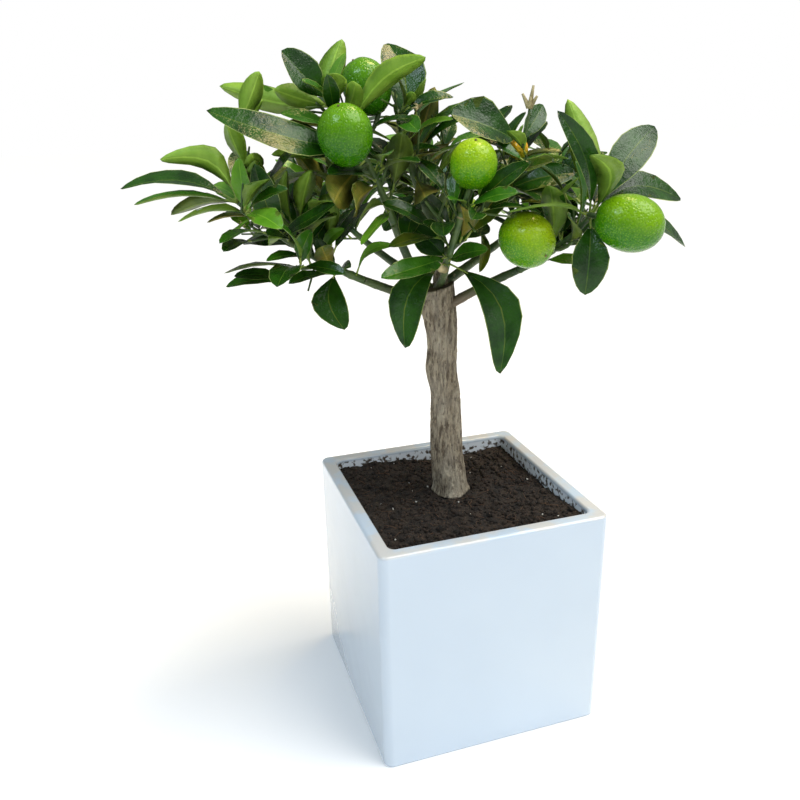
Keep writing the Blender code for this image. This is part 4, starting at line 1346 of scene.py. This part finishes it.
def lump(middle, size, rng):
    """An uneven crumb: a squashed ball of few faces."""
    angle = rng.uniform(0, ANY_TURN)
    turn = Matrix.Rotation(angle, 3, Vector((rng.random(), rng.random(), rng.random() + 0.1)).normalized())
    rings = [[Vector((0, 0, -1))]]
    for level, width in ((-0.5, 0.85), (0.45, 0.9)):
        ring = []
        for side in range(5):
            angle = 2 * math.pi * (side + level) / 5
            reach = width * rng.uniform(0.7, 1.15)
            ring.append(Vector((math.cos(angle) * reach, math.sin(angle) * reach, level)))
        rings.append(ring)
    rings.append([Vector((0, 0, 1))])
    points, faces = loft(rings)
    stretch = Vector((rng.uniform(0.7, 1.3), rng.uniform(0.7, 1.3), rng.uniform(0.5, 0.9))) * size
    return [middle + turn @ Vector([p[i] * stretch[i] for i in range(3)]) for p in points], faces


def make_crumbs(rng, half):
    """Crumbs, grains of perlite and root fibres, strewn on the soil clear of the trunk."""
    back = Matrix.Rotation(-SHOW_SIDE, 3, "Z")
    crumbs, perlite, fibres = Batch(), Batch(), Batch()

    def free_spot(edge):
        while True:
            across, away = rng.uniform(-half + edge, half - edge), rng.uniform(-half + edge, half - edge)
            if math.hypot(across - TRUNK_FOOT.x, away - TRUNK_FOOT.y) > CLEAR_OF_TRUNK:
                return across, away

    def on_soil(across, away, lift):
        return back @ Vector((across, away, ground_at(across, away) + lift))

    for _ in range(CRUMBS):
        size = rng.choice(CRUMB_SIZES) * MM * rng.uniform(*CRUMB_SPREAD)
        crumbs.take(lump(on_soil(*free_spot(size * 1.4), size * 0.25), size, rng))
    for _ in range(PERLITE_GRAINS):
        size = rng.uniform(*PERLITE_SIZE) * MM
        perlite.take(lump(on_soil(*free_spot(3 * MM), size * 0.5), size, rng))
    for _ in range(FIBRES):
        across, away = free_spot(7 * MM)
        turn, length = rng.uniform(0, ANY_TURN), rng.uniform(*FIBRE_LENGTH) * MM
        path = []
        for step in range(4):
            x = across + math.cos(turn) * length * (step / 3 - 0.5)
            y = away + math.sin(turn) * length * (step / 3 - 0.5)
            path.append(on_soil(x, y, rng.uniform(*FIBRE_LIFT) * MM))
            turn += rng.uniform(-0.35, 0.35)
        fibres.take(tube(path, FIBRE_THICK, 4))
    crumbs.piece("soil_crumbs", [soil_finish()], "soil")
    white = Paint("perlite", 0.9)
    white.colour(white.blend(white.spread(900), *PERLITE))
    perlite.piece("perlite", [white.material], "soil")
    straw = Paint("root_fibre", 0.85)
    straw.colour(straw.blend(straw.spread(200), *ROOT_FIBRE))
    fibres.piece("root_fibres", [straw.material], "soil")


def bark_relief(turn, up, radius):
    """How far the bark stands in or out: plates parted by long wavering fissures."""
    around = Vector((math.cos(turn), math.sin(turn), 0)) * radius

    def spot(humps, up):
        return Vector((around.x * humps[0], around.y * humps[0], up * humps[1]))

    warp = noise.noise(spot(BARK_WARP, up)) * 3 * MM
    ridge = 1 - abs(noise.fractal(spot(BARK_PLATES, up + warp), 0.7, 2.2, 4)) * 2.2
    broad, fine = noise.noise(spot(BARK_BROAD, up)), noise.noise(spot(BARK_FINE, up))
    return (-1.0 * max(0.0, ridge) ** 3 + 0.6 * broad + 0.2 * fine) * MM


def level_at(up):
    """The trunk's middle across and its diameter at a height, in millimetres, on a smooth curve."""
    rows = TRUNK_LEVELS
    last = len(rows) - 1
    i = next((i for i in range(last) if up <= rows[i + 1][0]), last - 1)
    t = max(0.0, min(1.0, (up - rows[i][0]) / (rows[i + 1][0] - rows[i][0])))
    ends = [Vector(rows[max(0, min(last, near))][1:]) for near in range(i - 1, i + 3)]
    return curve_point(*ends, t)


def bark_finish():
    """Grey-brown bark with pale scraped plates, and dark crack lines that are painted shade of its fissures.
    """
    paint = Paint("bark", 0.88)
    streaks = paint.spread(430, detail=6, stretch=(1, 1, 0.2), roughness=0.65)
    wood = paint.blend(streaks.above(0.5, soft=0.13), *BARK)
    scraped = paint.spread(45, detail=4, stretch=(1, 1, 0.5)).above(0.56, soft=0.1)
    wood = paint.blend(scraped * 0.55, wood, BARK_SCRAPED)
    # painted shade: dark crack lines as the shade in the bark's fissures
    crack_shade = paint.spread(700, stretch=(1, 1, 0.3)).above(0.62, soft=0.06)
    paint.colour(paint.blend(crack_shade * 0.6, wood, BARK_CRACK_SHADE))
    grain = streaks + 0.5 * paint.spread(1100, detail=4, stretch=(1, 1, 0.4))
    paint.relief(grain, deep=2 * MM, strength=0.9)
    return paint.material


def cut_finish():
    """Weathered end grain on the pruned tops."""
    paint = Paint("cut_wood", 0.85)
    paint.colour(paint.blend(paint.spread(350, detail=4), *CUT_WOOD))
    paint.relief(paint.spread(800, detail=4), deep=1 * MM, strength=0.7)
    return paint.material


def raise_rings(name, middle_of, radius_of, low, high, sides):
    """A ring at the foot, filled and then extruded upwards step by step, each ring moved and sized."""
    count = max(2, round((high - low) / BARK_STEP))
    start = middle_of(low)
    foot = {"vertices": sides, "radius": radius_of(low), "fill_type": "NGON", "location": start}
    stem = fresh(name, bpy.ops.mesh.primitive_circle_add, **foot)
    bpy.ops.object.transform_apply(location=True, rotation=True, scale=True)
    edit(stem, "FACE")
    bpy.ops.mesh.select_all(action="SELECT")
    here, wide = start, radius_of(low)
    for step in range(1, count + 1):
        up = mix(low, high, step / count)
        there, radius = middle_of(up), radius_of(up)
        bpy.ops.mesh.extrude_region_move(TRANSFORM_OT_translate={"value": there - here})
        bpy.ops.transform.resize(value=(radius / wide, radius / wide, 1), center_override=there)
        here, wide = there, radius
    bpy.ops.mesh.inset(thickness=wide * 0.12, depth=-0.5 * MM)
    bpy.ops.mesh.inset(thickness=wide * 0.4, depth=0.4 * MM)
    bpy.ops.mesh.select_all(action="SELECT")
    bpy.ops.mesh.normals_make_consistent(inside=False)
    bpy.ops.object.mode_set(mode="OBJECT")
    return stem


def carve(stem, middle_of, radius_of, top, swell, rough=1.0):
    """Moves each point of a stem by its swelling and by the bark's relief, which fades inwards."""
    for vert in stem.data.vertices:
        up = min(vert.co.z, top)
        centre = middle_of(up)
        x, y = vert.co.x - centre.x, vert.co.y - centre.y
        reach, turn = math.hypot(x, y), math.atan2(y, x)
        edge = min(1.0, reach / radius_of(up)) ** 4
        wider = reach * swell(turn, up) + bark_relief(turn, up, radius_of(up)) * edge * rough
        vert.co.x = centre.x + wider * math.cos(turn)
        vert.co.y = centre.y + wider * math.sin(turn)


def make_trunk():
    """The stem and its leader, raised ring by ring, then carved with the bark's fissures."""
    low, high = TRUNK_LEVELS[0][0] * MM, TRUNK_LEVELS[-1][0] * MM
    foot, tip = place(*LEADER_FOOT), place(*LEADER_TIP)

    def middle(up):
        return Vector((level_at(up / MM)[0] * MM, TRUNK_AWAY, up))

    def radius(up):
        return level_at(up / MM)[1] * MM / 2

    def swell(turn, up):
        flare = 1 + FLARE * max(0.0, 1 - (up - low) / FLARE_HIGH) * (1 + math.sin(4 * turn + 1))
        return trunk_swell(turn, (up - low) / (high - low)) * flare

    def leader_middle(up):
        return foot.lerp(tip, (up - foot.z) / (tip.z - foot.z))

    def leader_radius(up):
        return mix(*LEADER_THICK, (up - foot.z) / (tip.z - foot.z)) * MM / 2

    trunk = raise_rings("trunk_bark", middle, radius, low, high, BARK_SIDES)
    carve(trunk, middle, radius, high, swell)
    for vert in trunk.data.vertices:
        up = min(vert.co.z, high)
        slant = max(0.0, (up - high + SLANT_HIGH) / SLANT_HIGH)
        vert.co.z += math.tan(FORK_SLANT) * slant * (vert.co.x - middle(up).x)
    leader = raise_rings("leader", leader_middle, leader_radius, foot.z, tip.z, BARK_SIDES // 2)
    carve(leader, leader_middle, leader_radius, tip.z, lambda turn, up: 1, LEADER_BARK)
    select_only(trunk, leader)
    bpy.ops.object.join()
    trunk.data.transform(TREE_TURN.to_4x4())
    bpy.ops.object.shade_smooth()
    trunk.data.materials.append(bark_finish())
    trunk.data.materials.append(cut_finish())
    for face in trunk.data.polygons:
        if face.normal.z > 0.6 and face.center.z > high - 8 * MM:
            face.material_index = 1
    settle(trunk, ["trunk"])


def fruit_finish(name, green, ripe_and_lit):
    """Dimpled peel: darker green below, riper and lighter towards its patch on the upper front, partly
    painted light from above, with oil glands as fine pale dots.
    """
    paint = Paint(name, 0.2, {"Specular IOR Level": 0.22, "Coat Weight": 0.12, "Coat Roughness": 0.08})
    ripeness = paint.add("ShaderNodeAttribute", {"attribute_name": "ripeness"}, output="Fac")
    cloud = paint.spread(85)
    # painted light: lighter towards the patch on the upper front, darker green below
    share = (ripeness + 0.5 * cloud - 0.25).above(0.72, soft=0.34)
    dots = 1 - paint.cells(1000).above(0.36, soft=0.14)
    lighter = tuple(min(1.0, channel * 1.35 + 0.01) for channel in ripe_and_lit)
    paint.colour(paint.blend(dots * 0.3, paint.blend(share, green, ripe_and_lit), lighter))
    paint.set(paint.shader.inputs["Roughness"], 0.16 + 0.12 * cloud)
    dimples = paint.cells(600).above(0.3, soft=0.3) + 0.4 * paint.spread(240, detail=2)
    paint.relief(dimples, deep=0.6 * MM, strength=0.6)
    return paint.material


def make_remains():
    """The front fruit's thick stem with its ringed node, a dried flower, a dry calyx and a cut stub."""
    rng = random.Random(FINE_SEED + 4)
    stem, dry = Batch(), Batch()
    for route, thick, sides, knots in (
        (FRONT_STEM, (3.6, 3.2), 12, 0.05),
        (FLOWER_STALK, (1.5, 1.2), 8, 0.1),
        (CALYX_STALK, (1.4, 1.2), 8, 0.1),
    ):
        stem.take(knobbly([place(*spot) for spot in route], thick, sides, rng, knots))
    ring = place(*FRONT_STEM[1])
    dry.take(bead(ring, (place(*FRONT_STEM[2]) - ring).normalized(), 2.4 * MM, 4.8 * MM))
    dry.take(knobbly([place(*spot) for spot in STUB], (4.4, 3.4), 10, rng, 0.2))
    head = place(*FLOWER_STALK[-1])
    for _ in range(PETALS):
        way = Vector((rng.uniform(-1, 1), rng.uniform(-1, 1), rng.uniform(-0.3, 1))).normalized()
        dry.take(bead(head + way * 1.6 * MM, way, 3.6 * MM, 1.5 * MM))
    cup = place(*CALYX_STALK[-1])
    for lobe, (across, length) in enumerate(CALYX_LOBES):
        way = Vector((across, 0.15 - 0.2 * lobe, 1)).normalized()
        dry.take(bead(cup + way * length * 0.4 * MM, way, length * MM, 3.2 * MM))
    stem.piece("front_stem", [twig_finish()], "foliage")
    dry.piece("dry_parts", [leaf_finish("dry_parts", *DRY_CREAM, 0.6)], "foliage")


def shape_fruit(ball, number, middle, points, half_length, half_width, lit_patch):
    """Draws a ball out into a dimpled egg in its place, and writes how far each point faces its patch, where
    the peel is riper and painted lighter by the light from above.
    """
    stand = points.to_track_quat("Z", "Y").to_matrix()
    look = Vector(lit_patch).normalized()
    ripeness = ball.data.attributes.new("ripeness", "FLOAT", "POINT")
    for vert in ball.data.vertices:
        co = vert.co.normalized()
        lumps = 1 + 0.012 * noise.noise(co * 2.2 + Vector((number, 0, 0))) + 0.004 * noise.noise(co * 9)
        wide = half_width * lumps * (1 + FRUIT_FULLER * co.z)
        reach = half_length * lumps * (1 - DIMPLE * math.exp(-((1 - abs(co.z)) / DIMPLE_WIDE)))
        shaped = stand @ Vector((co.x * wide, co.y * wide, co.z * reach))
        # facing the patch means riper, and lighter as painted light from above
        ripeness.data[vert.index].value = 0.5 + 0.5 * (stand @ co).dot(look)
        vert.co = TREE_TURN @ (middle + shaped)


def make_fruit(crown):
    """Balls drawn out into eggs, each with its own peel, then their stalks, calyces and scars."""
    rng = random.Random(FINE_SEED + 3)
    stalks, calyces = Batch(), Batch()
    for number, fruit in enumerate(FRUITS):
        skin = number if number < len(FRUIT_SKINS) else number % GREEN_SKINS
        green, ripe_and_lit, lit_patch = FRUIT_SKINS[skin]
        middle, points = place(*fruit.middle), Vector(fruit.points).normalized()
        half_length = fruit.length * MM / 2 * FRUIT_SHOWN
        half_width = fruit.width * MM / 2 * FRUIT_SHOWN
        name = str(number + 1)
        sphere = {"segments": 48, "ring_count": 32, "radius": 1}
        ball = fresh("fruit_" + name, bpy.ops.mesh.primitive_uv_sphere_add, **sphere)
        shape_fruit(ball, number, middle, points, half_length, half_width, lit_patch)
        ball.data.materials.append(fruit_finish("peel_" + name, green, ripe_and_lit))
        select_only(ball)
        bpy.ops.object.shade_smooth()
        settle(ball)
        near, far = middle - points * half_length * 0.93, middle + points * half_length * 0.965
        stalks.take(knobbly(crown.stalks[number][:2] + [near], (2.2, 2.9), 12, rng, 0.12, 9 * MM))
        side = points.orthogonal().normalized()
        for lobe in range(CALYX_OF_FRUIT):
            out = Matrix.Rotation(2 * math.pi * lobe / CALYX_OF_FRUIT, 3, points) @ side
            calyces.take(bead(near + out * 1.5 * MM - points * 0.3 * MM, out, 3.4 * MM, 1.7 * MM))
        calyces.take(tube([far - points * 1.5 * MM, far, far + points * 0.7 * MM], (1.9, 1.1), 8), 1)
    stalks.piece("fruit_stalks", [bough_finish()], "foliage")
    cup, scar = leaf_finish("calyx", *CALYX, 0.5), leaf_finish("fruit_scar", *FRUIT_SCAR, 0.7)
    calyces.piece("calyces", [cup, scar], "foliage")


def make_floor():
    floor = fresh("floor", bpy.ops.mesh.primitive_plane_add, size=FLOOR_WIDE, location=(0, 0, 0))
    glow = {"Emission Color": (1, 1, 1), "Emission Strength": FLOOR_GLOW}
    paint = Paint("pale_floor", 0.6, {"Specular IOR Level": 0.2, **glow})
    paint.colour(PALE_FLOOR)
    floor.data.materials.append(paint.material)


def light_room():
    """A white room, dimmer as light than as it is seen."""
    world = bpy.data.worlds.new("studio")
    bpy.context.scene.world = world
    world.use_nodes = True
    nodes, links = world.node_tree.nodes, world.node_tree.links
    background = nodes["Background"]
    background.inputs["Color"].default_value = (1, 1, 1, 1)
    seen, strength = nodes.new("ShaderNodeLightPath"), nodes.new("ShaderNodeMix")
    strength.inputs["A"].default_value = ROOM_LIGHT
    strength.inputs["B"].default_value = 1.0
    links.new(seen.outputs["Is Camera Ray"], strength.inputs["Factor"])
    links.new(strength.outputs["Result"], background.inputs["Strength"])


def hang_lamps():
    """A wide soft sun from the right, and three lamps round the tree."""
    sun = bpy.data.objects.new("high_window", bpy.data.lights.new("high_window", "SUN"))
    sun.data.energy = SUN_STRENGTH
    sun.data.angle = math.radians(SUN_SPREAD)
    sun.data.color = SUN_COLOUR
    sun.rotation_euler = Vector(SUN_PLACE).to_track_quat("Z", "Y").to_euler()
    bpy.context.scene.collection.objects.link(sun)
    for name, spot, size, watts, colour in LAMPS:
        light = bpy.data.lights.new(name, "AREA")
        light.size = size
        light.energy = watts
        light.color = colour
        lamp = bpy.data.objects.new(name, light)
        lamp.location = spot
        lamp.rotation_euler = (Vector(LAMPS_LOOK_AT) - Vector(spot)).to_track_quat("-Z", "Y").to_euler()
        bpy.context.scene.collection.objects.link(lamp)


def set_camera():
    """The camera at the photograph's place."""
    lens = bpy.data.cameras.new("camera")
    lens.lens = CAMERA_LENS
    lens.sensor_width = CAMERA_SENSOR
    camera = bpy.data.objects.new("camera", lens)
    turn = Matrix.Rotation(math.radians(CAMERA_TURN), 3, "Z")
    pitch = Matrix.Rotation(math.radians(90 - EYE_RISE), 3, "X")
    roll = Matrix.Rotation(math.radians(CAMERA_ROLL), 3, "Z")
    camera.matrix_world = Matrix.Translation(CAMERA_PLACE) @ (turn @ pitch @ roll).to_4x4()
    bpy.context.scene.collection.objects.link(camera)
    bpy.context.scene.camera = camera
    bpy.context.scene.view_settings.view_transform = "Standard"


make_floor()
light_room()
hang_lamps()
set_camera()
make_pot()
make_soil()
make_trunk()
tree, bough_paths, stem_paths = grow_crown()
for order, grown in enumerate(BRANCHES):
    grow_fine(tree, grown, stem_paths[grown.name], random.Random(FINE_SEED + 10 + order))
make_foliage(tree, bough_paths, stem_paths)
make_fruit(tree)
make_remains()
